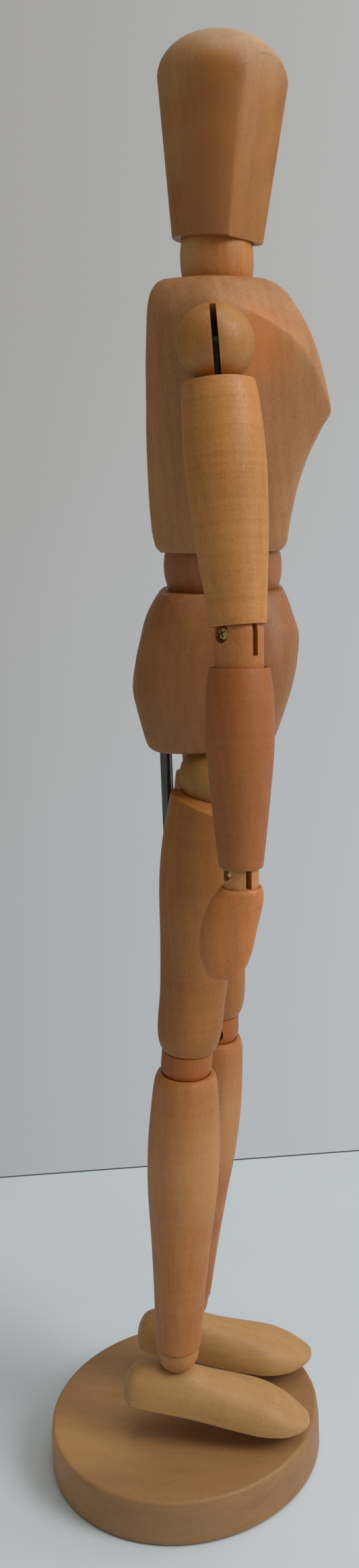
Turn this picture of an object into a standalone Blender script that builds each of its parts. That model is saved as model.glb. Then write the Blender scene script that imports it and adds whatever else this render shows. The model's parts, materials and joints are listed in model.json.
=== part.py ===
"""Jointed wooden artist's figure of a woman, 40 cm tall, carried by a steel rod on a round base.

The figure faces -Y with its right side at -X, and the origin is the centre of the base's underside.
Turned and carved beech pieces meet at balls, slotted bullets and cups. Flat steel tongues, pins and
screws hinge the limbs, and springs inside the chest, head and pelvis pull the ball joints together.
"""

import math

import bmesh
import bpy
from mathutils import Matrix, Vector

# Sizes are in millimetres, and MM turns them into metres.
MM = 0.001
GAP = 0.3
LIMB_SIDES = 16
BALL_SIDES = 12
BALL_RINGS = 7
BASE_SIDES = 40
SCREW_SIDES = 9
SMALL_SIDES = 7
CREASE_ANGLE = 35

# Base and rod
BASE_RADIUS = 41.0
BASE_HEIGHT = 14.0
BASE_EDGE_RADIUS = 40.4
BASE_EASING = 0.6
BASE_WALL_TOP = 9.5
BASE_FOOT_EASING = 0.8
ROD_RADIUS = 1.65
ROD_FORWARD = 2.4
ROD_FOOT = 2.3
ROD_TOP = 236.0
ROD_EASING = 0.5

# Places of the joints, from the floor up
PELVIS_UNDERSIDE = 223.6
PELVIS_TOP = 263.6
PELVIS_SQUARENESS = 3.0
WAIST_CENTRE = (0, -19.5, 269.5)
WAIST_RADIUS = 15.6
CHEST_UNDERSIDE = 273.9
CHEST_TOP = 340.3
NECK_CENTRE = (0, -20.4, 345.6)
NECK_RADIUS = 9.9
NECK_WAIST_RADIUS = 9.25
NECK_HALF_BAND = 4.4
SHOULDER_CENTRE = (31, -19.4, 323.2)
SHOULDER_RADIUS = 9.2
HIP_CENTRE = (14, -15.3, 216.0)
HIP_RADIUS = 9.0

# Chest flanks slope in from their start, and the head's cone runs from chin to brow under a domed crown.
FLANK_SLOPE = 0.28
FLANK_START = -18.0
CHIN = 4.4
CHIN_RADIUS = 11.4
BROW = 41.0
BROW_RADIUS = 16.0
CROWN_HEIGHT = 11.3

# Lengths between joints
UPPER_ARM_LENGTH = 67.1
FOREARM_LENGTH = 58.0
THIGH_LENGTH = 82.7
SHANK_LENGTH = 91.7

# How the figure stands, in degrees. Forward leans are positive.
HEAD_NOD = 3.8
ARM_SPREAD = 9.0
UPPER_ARM_LEAN = 3.0
ELBOW_BEND = 6.5
THIGH_LEAN = {"right": -7.1, "left": -1.7}
SHANK_LEAN = {"right": -3.7, "left": -7.0}
LEG_INWARD = 1.0
FOOT_PITCH = 12.9
ELBOW_SCREW_TURN = 50.0
WRIST_SCREW_TURN = 65.0

# Slotted bullets, tongues and screws
ELBOW_RADIUS = 5.9
WRIST_RADIUS = 4.3
KNEE_RADIUS = 7.1
KNEE_PEG = 4.5
ANKLE_RADIUS = 6.1
ANKLE_PEG = 3.2
SOLE_EDGE = 0.5
FOOT_SQUARENESS = 2.6
KERF = 1.5
KERF_DEPTH_SHARE = 0.9
TONGUE_THICKNESS = 1.0
PIN_RADIUS = 1.0
PIN_HOLE = 1.15
TONGUE_ROOM = 0.3
SCREW_ROOM = 0.45
ARM_BORE = 2.75
ELBOW_SKIRT = 12.8
ELBOW_SEAT = 4.2
ELBOW_SCREW_HEAD = 1.95
WRIST_SKIRT = 6.8
WRIST_SEAT = 2.9
WRIST_SCREW_HEAD = 1.6
KNEE_SEAT = 4.6
KNEE_SCREW_HEAD = 2.0

# Hidden springs. Each hip spring's top is a height from the floor, and the others are from their joints.
SPRING_RADIUS = 2.6
SPRING_TAIL_RADIUS = 0.8
TAIL_GAP = PIN_RADIUS + GAP
HIP_SPRING_TOP = 246.0
WAIST_SPRING_TOP = 33.0
CHEST_PIN_HALF = 12.0
NECK_SPRING_TOP = 27.0
HEAD_PIN_HALF = 9.0
SHOULDER_SPRING_HALF = 17.0
SHOULDER_TAIL_END = SHOULDER_CENTRE[0] - 5.0

SIDES = {"right": -1, "left": 1}


def finish(name, colour, roughness, metallic=0.0):
    """A plain surface finish."""
    material = bpy.data.materials.new(name)
    material.use_nodes = True
    shader = material.node_tree.nodes["Principled BSDF"]
    shader.inputs["Base Color"].default_value = (*colour, 1)
    shader.inputs["Roughness"].default_value = roughness
    shader.inputs["Metallic"].default_value = metallic
    return material


def arc(centre, radius, start, end, steps):
    """Points (radius, height) on a circle in the turning plane, by angles above the horizontal."""
    points = []
    for step in range(steps + 1):
        angle = math.radians(start + (end - start) * step / steps)
        points.append((centre[0] + radius * math.cos(angle), centre[1] + radius * math.sin(angle)))
    return points


def turned(outline, sides=LIMB_SIDES):
    """A solid turned about Z. The outline runs from the top of the axis to its bottom."""
    bm = bmesh.new()
    points = [bm.verts.new((max(radius, 0), 0, height)) for radius, height in outline]
    edges = [bm.edges.new(pair) for pair in zip(points, points[1:])]
    bmesh.ops.spin(
        bm, geom=points + edges, axis=(0, 0, 1), angle=math.tau, steps=sides, use_duplicate=False
    )
    bmesh.ops.remove_doubles(bm, verts=bm.verts, dist=0.001)
    bmesh.ops.recalc_face_normals(bm, faces=bm.faces)
    return bm


def cylinder(radius, bottom, top, sides=SMALL_SIDES):
    return turned([(0, top), (radius, top), (radius, bottom), (0, bottom)], sides)


def cone(bottom_radius, bottom, top_radius, top, sides=SMALL_SIDES):
    return turned([(0, top), (top_radius, top), (bottom_radius, bottom), (0, bottom)], sides)


def ball(radius):
    outline = arc((0, 0), radius, 90, -90, BALL_RINGS)
    shape = turned([(0, radius)] + outline[1:-1] + [(0, -radius)], LIMB_SIDES)
    return moved(shape, turn=180 / LIMB_SIDES)


def socket_radius(radius):
    """The radius of a faceted cup: even the middles of its facets clear a ball of the given radius."""
    return (radius + GAP) / math.cos(math.pi / LIMB_SIDES) ** 2


def socket(radius):
    """The tool for a spherical cup."""
    return ball(socket_radius(radius))


def cup_above(radius, rim):
    """A turned cup round a ball at the origin, from the axis up to its rim's height."""
    reach = socket_radius(radius)
    return [(0, -reach)] + arc((0, 0), reach, -72, math.degrees(math.asin(rim / reach)), 3)


def peg_hole(radius, floor, mouth):
    """A turned blind hole for a peg of this radius, from the axis at its floor to its mouth."""
    reach = (radius + GAP) / math.cos(math.pi / LIMB_SIDES)
    return [(0, floor), (reach, floor), (reach, mouth)]


def cup_below(radius, centre, rim):
    """A turned cup round a ball lower down, from its rim's height to the axis."""
    reach = socket_radius(radius)
    start = math.degrees(math.asin((rim - centre) / reach))
    return arc((0, centre), reach, start, 72, 3) + [(0, centre + reach)]


def box(low, high):
    bm = bmesh.new()
    bmesh.ops.create_cube(bm, size=1)
    size = Vector(high) - Vector(low)
    middle = (Vector(high) + Vector(low)) / 2
    bmesh.ops.scale(bm, vec=size, verts=bm.verts)
    bmesh.ops.translate(bm, vec=middle, verts=bm.verts)
    return bm


def plate(outline, thickness):
    """A flat sheet in the XZ plane, as thick as told along Y."""
    bm = bmesh.new()
    face = bm.faces.new([bm.verts.new((x, -thickness / 2, z)) for x, z in outline])
    bottom = bmesh.ops.extrude_face_region(bm, geom=[face])["geom"]
    far_side = [item for item in bottom if isinstance(item, bmesh.types.BMVert)]
    bmesh.ops.translate(bm, vec=(0, thickness, 0), verts=far_side)
    bmesh.ops.recalc_face_normals(bm, faces=bm.faces)
    return bm


def oval(half_x, half_y, middle_y, height, squareness, count):
    """A ring between an ellipse (squareness 2) and a rectangle."""
    ring = []
    for step in range(count):
        angle = math.tau * step / count
        c = math.cos(angle)
        s = math.sin(angle)
        x = half_x * math.copysign(abs(c) ** (2 / squareness), c)
        y = half_y * math.copysign(abs(s) ** (2 / squareness), s)
        ring.append((x, middle_y + y, height))
    return ring


def lofted(rings):
    """A solid skinned over closed rings of equal count, with flat ends."""
    bm = bmesh.new()
    loops = [[bm.verts.new(point) for point in ring] for ring in rings]
    for lower, upper in zip(loops, loops[1:]):
        for index in range(len(lower)):
            after = (index + 1) % len(lower)
            bm.faces.new((lower[index], lower[after], upper[after], upper[index]))
    bm.faces.new(loops[0])
    bm.faces.new(loops[-1])
    bmesh.ops.recalc_face_normals(bm, faces=bm.faces)
    return bm


def moved(bm, place=(0, 0, 0), turn=0.0, axis="Z"):
    """The shape turned about an axis through the origin, then shifted."""
    bm.transform(Matrix.Translation(place) @ Matrix.Rotation(math.radians(turn), 4, axis))
    return bm


def mesh_object(name, bm):
    mesh = bpy.data.meshes.new(name)
    bm.to_mesh(mesh)
    bm.free()
    made = bpy.data.objects.new(name, mesh)
    bpy.context.scene.collection.objects.link(made)
    return made


def piece(name, bm, material, frame, cuts=()):
    """One part of the figure, cut by the given tools and hung on its frame."""
    made = mesh_object(name, bm)
    for cut in cuts:
        tool = mesh_object(name + "_tool", cut)
        modifier = made.modifiers.new("cut", "BOOLEAN")
        modifier.operation = "DIFFERENCE"
        modifier.solver = "EXACT"
        modifier.object = tool
        graph = bpy.context.evaluated_depsgraph_get()
        whole = made.data
        made.data = bpy.data.meshes.new_from_object(made.evaluated_get(graph))
        made.data.name = name
        made.modifiers.clear()
        bpy.data.meshes.remove(whole)
        bpy.data.objects.remove(tool)
    made.data.transform(Matrix.Scale(MM, 4))
    made.data.materials.clear()
    made.data.materials.append(material)
    made.data.shade_smooth()
    made.data.set_sharp_from_angle(angle=math.radians(CREASE_ANGLE))
    made.parent = frame
    return made


def frame(name, parent, place, turns=()):
    """An empty on a joint: each turn is (degrees, axis), the first one applied outermost."""
    made = bpy.data.objects.new(name, None)
    bpy.context.scene.collection.objects.link(made)
    matrix = Matrix.Translation(Vector(place) * MM)
    for degrees, axis in turns:
        matrix = matrix @ Matrix.Rotation(math.radians(degrees), 4, axis)
    made.parent = parent
    made.matrix_local = matrix
    return made


def mortise(width, depth, place=(0, 0, 0), turn=0.0, upward=False):
    """The slot that a tongue is driven into, down from its joint or up from it."""
    half = width / 2 + TONGUE_ROOM
    thick = TONGUE_THICKNESS / 2 + TONGUE_ROOM
    low, high = (-1, depth) if upward else (-depth, 0)
    return moved(box((-half, -thick, low), (half, thick, high)), place, turn)


def tongue(width, reach):
    """The outline of a flat steel strap: a round eye at the origin and a strap reaching down."""
    half = width / 2
    eye = arc((0, 0), half, 0, 180, 6)
    return plate(eye + [(-half, -reach), (half, -reach)], TONGUE_THICKNESS), cylinder_y(PIN_HOLE, -3, 3)


def cylinder_y(radius, low, high, sides=SMALL_SIDES):
    return moved(cylinder(radius, low, high, sides), turn=-90, axis="X")


def cylinder_x(radius, low, high, sides=SMALL_SIDES):
    return moved(cylinder(radius, low, high, sides), turn=90, axis="Y")


def bullet(radius, skirt, chamfer=0.5):
    """A short peg with a round top centred on the origin and a skirt reaching down."""
    top = [(0, radius)] + arc((0, 0), radius, 66, 0, 3)
    return turned(top + [(radius, chamfer - skirt), (radius - chamfer, -skirt), (0, -skirt)], BALL_SIDES)


def screw(head_radius, seat):
    """A pan-head screw along +Z, seated at the given height and reaching nearly as far below the origin."""
    length = 2 * (seat - GAP)
    crown = seat + head_radius * 0.62
    head = [(0, crown), (head_radius * 0.55, crown - 0.1), (head_radius * 0.9, crown - 0.45)]
    rim = [(head_radius, crown - 0.8), (head_radius, seat), (PIN_RADIUS, seat)]
    return turned(head + rim + [(PIN_RADIUS, seat - length), (0, seat - length)], SCREW_SIDES)


def spring(bottom, top, tail):
    """A hidden tension spring as its outer envelope, with a straight tail reaching down to its hook."""
    shoulder = [(0, top), (SPRING_RADIUS, top), (SPRING_RADIUS, bottom), (SPRING_TAIL_RADIUS, bottom)]
    return turned(shoulder + [(SPRING_TAIL_RADIUS, tail), (0, tail)], SMALL_SIDES)


for old in list(bpy.data.objects):
    bpy.data.objects.remove(old)

pale_wood = finish("pale_wood", (0.52, 0.31, 0.15), 0.55)
torso_wood = finish("torso_wood", (0.44, 0.27, 0.15), 0.6)
head_wood = finish("head_wood", (0.42, 0.22, 0.09), 0.5)
joint_wood = finish("joint_wood", (0.46, 0.24, 0.10), 0.55)
base_wood = finish("base_wood", (0.42, 0.25, 0.13), 0.5)
black_steel = finish("black_steel", (0.03, 0.03, 0.03), 0.25, 1.0)
bare_steel = finish("bare_steel", (0.45, 0.44, 0.42), 0.35, 1.0)
brass = finish("brass", (0.72, 0.52, 0.22), 0.3, 1.0)

# Base disc: turned, with an eased top edge and a blind hole for the rod.
ground = frame("ground", None, (0, 0, 0))
edge = arc((BASE_EDGE_RADIUS - BASE_EASING, BASE_HEIGHT - BASE_EASING), BASE_EASING, 90, 10, 1)
wall = [(BASE_RADIUS, BASE_WALL_TOP), (BASE_RADIUS, BASE_FOOT_EASING)]
underside = [(BASE_RADIUS - BASE_FOOT_EASING, 0), (0, 0)]
disc = turned([(0, BASE_HEIGHT)] + edge + wall + underside, BASE_SIDES)
rod_hole = moved(cylinder(ROD_RADIUS + GAP, ROD_FOOT - GAP, 30), (0, -ROD_FORWARD, 0))
piece("base_disc", disc, base_wood, ground, [rod_hole])

# Support rod: a bright black steel wire that turns in the base and slides in the pelvis.
rod_frame = frame("rod_axis", ground, (0, -ROD_FORWARD, 0))
rod_top = [(0, ROD_TOP), (ROD_RADIUS - ROD_EASING, ROD_TOP), (ROD_RADIUS, ROD_TOP - ROD_EASING)]
rod_bottom = [(ROD_RADIUS, ROD_FOOT + ROD_EASING), (ROD_RADIUS - ROD_EASING, ROD_FOOT), (0, ROD_FOOT)]
piece("support_rod", turned(rod_top + rod_bottom), black_steel, rod_frame)

# Pelvis: carved block, a rounded square from above, with a belly corner in front and a round seat behind.
# Each section is (height, back, front, half width).
pelvis_sections = [
    (PELVIS_UNDERSIDE, 1.4, -31.0, 21.6),
    (PELVIS_UNDERSIDE + 0.8, 2.1, -31.7, 22.3),
    (229, 3.3, -33.6, 23.6),
    (234, 4.4, -35.4, 24.3),
    (239, 5.2, -37.0, 24.4),
    (246, 4.2, -38.5, 23.4),
    (251.5, 2.8, -39.0, 21.8),
    (257, 1.2, -37.6, 19.8),
    (PELVIS_TOP - 0.8, -2.2, -35.6, 17.2),
    (PELVIS_TOP, -3.0, -35.0, 16.4),
]
figure = frame("figure", rod_frame, (0, ROD_FORWARD, 0))
pelvis_rings = [
    oval(half, (back - front) / 2, (back + front) / 2, height, PELVIS_SQUARENESS, 22)
    for height, back, front, half in pelvis_sections
]
pelvis_cuts = [
    moved(socket(WAIST_RADIUS), WAIST_CENTRE),
    moved(cylinder(ROD_RADIUS + GAP, 200, ROD_TOP + GAP), (0, -ROD_FORWARD, 0)),
]
for sign in SIDES.values():
    hip = (sign * HIP_CENTRE[0], HIP_CENTRE[1], 0)
    pelvis_cuts.append(moved(socket(HIP_RADIUS), (hip[0], hip[1], HIP_CENTRE[2])))
    pelvis_cuts.append(moved(cylinder(SPRING_RADIUS + GAP, HIP_CENTRE[2], HIP_SPRING_TOP), hip))
piece("pelvis_block", lofted(pelvis_rings), torso_wood, figure, pelvis_cuts)

# Waist ball: its flared top lets the spring's tail swing, and a cross pin holds the tail.
waist = frame("waist", figure, WAIST_CENTRE)
waist_cuts = [
    cone(1.6, -1.6, 11.0, WAIST_RADIUS + 1),
    cylinder_x(PIN_RADIUS + GAP, -20, 20),
]
piece("waist_ball", ball(WAIST_RADIUS), joint_wood, waist, waist_cuts)
piece("waist_pin", cylinder_x(PIN_RADIUS, -13, 13), bare_steel, waist)
chest_frame = frame("chest_axis", waist, (0, 0, 0))
piece("waist_spring", spring(17.0, WAIST_SPRING_TOP, TAIL_GAP), bare_steel, chest_frame)

# Chest: a block with a straight back, flat flanks and two bust points. An arc-shaped crease parts each
# flank from the rounded front, and ends in the bust point. Each section is
# (height, half width, back, flank's front end, bust's side and front, front at the middle).
chest_sections = [
    (CHEST_UNDERSIDE, 16.6, -3.4, -30.4, 8.0, -34.9, -35.4),
    (275.6, 17.4, -2.2, -31.2, 8.4, -36.2, -36.5),
    (281, 18.1, -1.4, -33.2, 8.8, -37.3, -37.3),
    (290, 19.2, -1.1, -36.6, 9.6, -39.6, -39.0),
    (297, 20.0, -1.1, -40.2, 10.6, -42.2, -40.6),
    (304, 20.8, -1.2, -44.6, 11.9, -45.6, -42.4),
    (308.4, 21.3, -1.4, -47.3, 12.4, -47.9, -43.6),
    (314, 22.1, -1.6, -45.6, 12.0, -47.2, -44.1),
    (320, 22.7, -1.8, -42.7, 11.4, -46.0, -44.0),
    (326, 23.2, -2.2, -38.2, 10.8, -44.2, -42.9),
    (330.4, 23.2, -2.5, -31.4, 10.5, -42.2, -41.3),
    (333.6, 22.2, -2.8, -24.6, 10.2, -40.2, -39.6),
    (336.8, 19.8, -3.5, -23.4, 9.6, -37.9, -37.5),
    (339.4, 16.6, -5.0, -22.8, 8.6, -34.8, -34.6),
    (CHEST_TOP, 14.8, -6.3, -22.4, 8.0, -32.6, -32.4),
]


def chest_ring(height, half, back, crease, bust_side, bust, middle):
    """The left half of a chest section as eased corners, mirrored into a ring."""
    flank_end = half - FLANK_SLOPE * (FLANK_START - crease)
    corners = [(0, back), (half * 0.62, back), (half, FLANK_START), (flank_end, crease), (bust_side, bust)]
    corners = [Vector(corner) for corner in corners + [(0, middle)]]
    eased = [corners[0]]
    for before, corner, after, share in zip(corners, corners[1:], corners[2:], (0.3, 0.3, 0.1, 0.25)):
        start = corner.lerp(before, share)
        end = corner.lerp(after, share)
        eased += [start, (start + 2 * corner + end) / 4, end]
    eased.append(corners[-1])
    mirrored = [Vector((-point.x, point.y)) for point in reversed(eased[1:-1])]
    return [(point.x, point.y, height) for point in eased + mirrored]


to_chest = Vector(WAIST_CENTRE)
chest_pin_at = Vector((0, 0, WAIST_SPRING_TOP + TAIL_GAP))
chest_pin_hole = cylinder_x(PIN_RADIUS + GAP, -CHEST_PIN_HALF - GAP, CHEST_PIN_HALF + GAP)
chest_cuts = [
    moved(socket(WAIST_RADIUS), WAIST_CENTRE),
    moved(cylinder(SPRING_RADIUS + GAP, 2, WAIST_SPRING_TOP + 3), WAIST_CENTRE),
    moved(chest_pin_hole, to_chest + chest_pin_at),
    moved(socket(NECK_RADIUS), NECK_CENTRE),
    moved(cylinder_x(SPRING_RADIUS + GAP, -28, 28), (0, SHOULDER_CENTRE[1], SHOULDER_CENTRE[2])),
]
for sign in SIDES.values():
    shoulder_at = (sign * SHOULDER_CENTRE[0], *SHOULDER_CENTRE[1:])
    chest_cuts.append(moved(socket(SHOULDER_RADIUS), shoulder_at))
for cut in chest_cuts:
    moved(cut, -to_chest)
chest_shape = moved(lofted([chest_ring(*section) for section in chest_sections]), -to_chest)
piece("chest_block", chest_shape, torso_wood, chest_frame, chest_cuts)
chest_pin = moved(cylinder_x(PIN_RADIUS, -CHEST_PIN_HALF, CHEST_PIN_HALF), chest_pin_at)
piece("chest_pin", chest_pin, bare_steel, chest_frame)

# Shoulder spring: lies across the chest, and its tails reach into both shoulder balls.
half_outline = [(0, SHOULDER_TAIL_END), (SPRING_TAIL_RADIUS, SHOULDER_TAIL_END)]
half_outline += [(SPRING_TAIL_RADIUS, SHOULDER_SPRING_HALF), (SPRING_RADIUS, SHOULDER_SPRING_HALF)]
both = half_outline + [(radius, -height) for radius, height in reversed(half_outline)]
across = Vector((0, SHOULDER_CENTRE[1], SHOULDER_CENTRE[2])) - to_chest
shoulder_spring = moved(moved(turned(both, SMALL_SIDES), turn=90, axis="Y"), across)
piece("shoulder_spring", shoulder_spring, bare_steel, chest_frame)

# Neck: a barrel with round ends between the chest's cup and the head's.
neck = frame("neck", chest_frame, Vector(NECK_CENTRE) - to_chest)
end_angle = math.degrees(math.asin(NECK_HALF_BAND / NECK_RADIUS))
upper = [(0, NECK_RADIUS)] + arc((0, 0), NECK_RADIUS, 66, end_angle, 2)
band = [(NECK_WAIST_RADIUS, 1.5), (NECK_WAIST_RADIUS, -1.5)]
lower = [(radius, -height) for radius, height in reversed(upper)]
neck_cuts = [cone(1.6, -1.6, 7.0, NECK_RADIUS + 1), cylinder_x(PIN_RADIUS + GAP, -12, 12)]
piece("neck_barrel", turned(upper + band + lower), head_wood, neck, neck_cuts)
piece("neck_pin", cylinder_x(PIN_RADIUS, -7.5, 7.5), bare_steel, neck)
head_frame = frame("head_axis", neck, (0, 0, 0), [(HEAD_NOD, "X")])
piece("neck_spring", spring(12.0, NECK_SPRING_TOP, TAIL_GAP), bare_steel, head_frame)

# Head: a turned cone with a domed crown, then two flat cuts that meet in the ridge of the face.
dome = [(BROW_RADIUS * radius, BROW + CROWN_HEIGHT * height) for radius, height in arc((0, 0), 1, 90, 0, 6)]
crown = [(0, BROW + CROWN_HEIGHT)] + dome[1:]
chin = [(CHIN_RADIUS, CHIN + 0.5), (CHIN_RADIUS - 0.5, CHIN), (0, CHIN)]
head_shape = turned(crown + chin)
for sign in SIDES.values():
    ridge_top = Vector((0, -BROW_RADIUS, BROW))
    ridge_bottom = Vector((0, -CHIN_RADIUS, CHIN))
    crease_top = Vector((sign * BROW_RADIUS * math.cos(math.radians(20)), -BROW_RADIUS * 0.34, BROW))
    normal = (crease_top - ridge_top).cross(ridge_bottom - ridge_top) * sign
    geometry = head_shape.verts[:] + head_shape.edges[:] + head_shape.faces[:]
    cut_edges = bmesh.ops.bisect_plane(
        head_shape, geom=geometry, plane_co=ridge_top, plane_no=-normal, clear_outer=True, dist=0.0001
    )["geom_cut"]
    rim = [item for item in cut_edges if isinstance(item, bmesh.types.BMEdge)]
    bmesh.ops.contextual_create(head_shape, geom=rim)
bmesh.ops.recalc_face_normals(head_shape, faces=head_shape.faces)
head_pin_at = (0, 0, NECK_SPRING_TOP + TAIL_GAP)
head_cuts = [
    socket(NECK_RADIUS),
    cylinder(SPRING_RADIUS + GAP, 2, NECK_SPRING_TOP + 3),
    moved(cylinder_x(PIN_RADIUS + GAP, -HEAD_PIN_HALF - GAP, HEAD_PIN_HALF + GAP), head_pin_at),
]
piece("head_block", head_shape, head_wood, head_frame, head_cuts)
head_pin = moved(cylinder_x(PIN_RADIUS, -HEAD_PIN_HALF, HEAD_PIN_HALF), head_pin_at)
piece("head_pin", head_pin, bare_steel, head_frame)


def slotted(name, radius, skirt, hung, turn, seat, head_radius):
    """A bullet with a saw kerf open to its round end, and a sunk screw hole across the kerf."""
    wide = 2 * radius
    kerf = box((-wide, -KERF / 2, -radius * KERF_DEPTH_SHARE), (wide, KERF / 2, wide))
    cuts = [
        moved(kerf, turn=turn),
        moved(cylinder_y(PIN_HOLE, GAP - seat, wide), turn=turn),
        moved(cylinder_y(head_radius + SCREW_ROOM, seat - 2 * GAP, wide, SCREW_SIDES), turn=turn),
    ]
    return piece(name, bullet(radius, skirt), joint_wood, hung, cuts)


def limb_screw(name, head_radius, seat, hung, turn):
    """A brass screw across the kerf, with its head towards local +Y before the turn."""
    shape = moved(screw(head_radius, seat), turn=-90, axis="X")
    return piece(name, moved(shape, turn=turn), brass, hung)


def make_arm(side):
    sign = SIDES[side]
    place = Vector((sign * SHOULDER_CENTRE[0], *SHOULDER_CENTRE[1:])) - to_chest
    shoulder = frame("shoulder_" + side, chest_frame, place, [(-UPPER_ARM_LEAN, "X")])

    # Shoulder ball: a saw kerf in the plane of the raised arm runs out near its top.
    inner = -sign * SHOULDER_RADIUS * 0.42
    outer = sign * 2 * SHOULDER_RADIUS
    run_out = [(inner, -20), (outer, -20), (outer, 20), (sign * 5.5, 20)]
    run_out += [(sign * 3.4, 8.4), (sign * 1.2, 6.2), (inner, 4.6)]
    ball_cuts = [
        plate(run_out if sign > 0 else run_out[::-1], KERF),
        cylinder_y(PIN_HOLE, -20, 20),
        cylinder_x(SPRING_TAIL_RADIUS + GAP, *sorted((-sign * 3.5, -sign * 20))),
    ]
    piece("shoulder_ball_" + side, ball(SHOULDER_RADIUS), joint_wood, shoulder, ball_cuts)
    piece("shoulder_pin_" + side, cylinder_y(PIN_RADIUS, -8, 8), bare_steel, shoulder)

    # Upper arm: hangs on a flat tongue that can turn in its round bore.
    upper_arm = frame("upper_arm_axis_" + side, shoulder, (0, 0, 0), [(-sign * ARM_SPREAD, "Y")])
    strap, eye = tongue(4.6, 19.0)
    piece("shoulder_tongue_" + side, strap, bare_steel, upper_arm, [eye])
    bore = [(0, -20), (ARM_BORE, -20)]
    rim = [(8.1, -8.9), (8.7, -9.5)]
    swell = [(9.35, -15), (9.75, -29), (8.8, -45), (7.7, -56), (6.9, -65.0), (6.7, -65.5)]
    outline = bore + cup_above(SHOULDER_RADIUS, -8.9)[1:] + rim + swell
    outline += cup_below(ELBOW_RADIUS, -UPPER_ARM_LENGTH, -65.5)
    elbow_at = (0, 0, -UPPER_ARM_LENGTH)
    elbow_turn = -sign * (90 - ELBOW_SCREW_TURN)
    slot = mortise(4.4, 12.4, elbow_at, elbow_turn, upward=True)
    piece("upper_arm_" + side, turned(outline), pale_wood, upper_arm, [slot])
    strap, eye = tongue(4.4, 12.0)
    strap = moved(moved(strap, turn=180, axis="Y"), elbow_at, elbow_turn)
    piece("elbow_tongue_" + side, strap, bare_steel, upper_arm, [moved(eye, elbow_at, elbow_turn)])

    # Forearm: carries the elbow's slotted bullet in its upper end.
    turn = math.radians(ELBOW_SCREW_TURN)
    screw_axis = Vector((sign * math.cos(turn), math.sin(turn), 0))
    forearm = frame("elbow_" + side, upper_arm, elbow_at, [(sign * ELBOW_BEND, screw_axis)])
    slotted(
        "elbow_bullet_" + side, ELBOW_RADIUS, ELBOW_SKIRT, forearm, elbow_turn, ELBOW_SEAT, ELBOW_SCREW_HEAD
    )
    limb_screw("elbow_screw_" + side, ELBOW_SCREW_HEAD, ELBOW_SEAT, forearm, elbow_turn)
    rim = [(6.9, -8.3), (7.4, -8.9)]
    swell = [(8.2, -16), (8.3, -27), (7.4, -38), (6.4, -48), (5.45, -56.6), (5.2, -57.0)]
    outline = peg_hole(ELBOW_RADIUS, -13.2, -8.3) + rim + swell
    outline += cup_below(WRIST_RADIUS, -FOREARM_LENGTH, -57.0)
    wrist_at = (0, 0, -FOREARM_LENGTH)
    wrist_turn = -sign * (90 - WRIST_SCREW_TURN)
    slot = mortise(3.4, 10.4, wrist_at, wrist_turn, upward=True)
    piece("forearm_" + side, turned(outline), pale_wood, forearm, [slot])
    strap, eye = tongue(3.4, 10.0)
    strap = moved(moved(strap, turn=180, axis="Y"), wrist_at, wrist_turn)
    piece("wrist_tongue_" + side, strap, bare_steel, forearm, [moved(eye, wrist_at, wrist_turn)])

    # Hand: a mitten that grows thinner to its tip, swept back from the wrist.
    hand = frame("wrist_" + side, forearm, wrist_at)
    slotted(
        "wrist_bullet_" + side, WRIST_RADIUS, WRIST_SKIRT, hand, wrist_turn, WRIST_SEAT, WRIST_SCREW_HEAD
    )
    limb_screw("wrist_screw_" + side, WRIST_SCREW_HEAD, WRIST_SEAT, hand, wrist_turn)
    # Each section is (height, half thickness, half depth, middle's shift forward).
    sections = [
        (-4.0, 4.6, 5.0, 0),
        (-4.9, 5.2, 5.5, -0.2),
        (-8, 5.3, 6.6, -1.3),
        (-12, 4.9, 7.0, -2.6),
        (-16.5, 4.3, 6.9, -3.5),
        (-21, 3.6, 6.3, -4.0),
        (-25, 2.6, 4.9, -4.3),
        (-27.4, 1.4, 2.6, -4.4),
    ]
    rings = [oval(thick, deep, -shift, height, 2.3, 14) for height, thick, deep, shift in sections]
    hand_cuts = [cylinder(WRIST_RADIUS + GAP, -7.1, 2, BALL_SIDES)]
    piece("hand_" + side, lofted(rings), pale_wood, hand, hand_cuts)


def foot_ring(forward, half, sole, top):
    """A section across the foot: a flat sole with crisp edges under a rounded back."""
    ring = [(-half + SOLE_EDGE, -forward, sole), (half - SOLE_EDGE, -forward, sole)]
    rise = top - sole - SOLE_EDGE
    for x, height, _ in oval(half, rise, sole + SOLE_EDGE, 0, FOOT_SQUARENESS, 16)[:9]:
        ring.append((x, -forward, height))
    return ring


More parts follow.
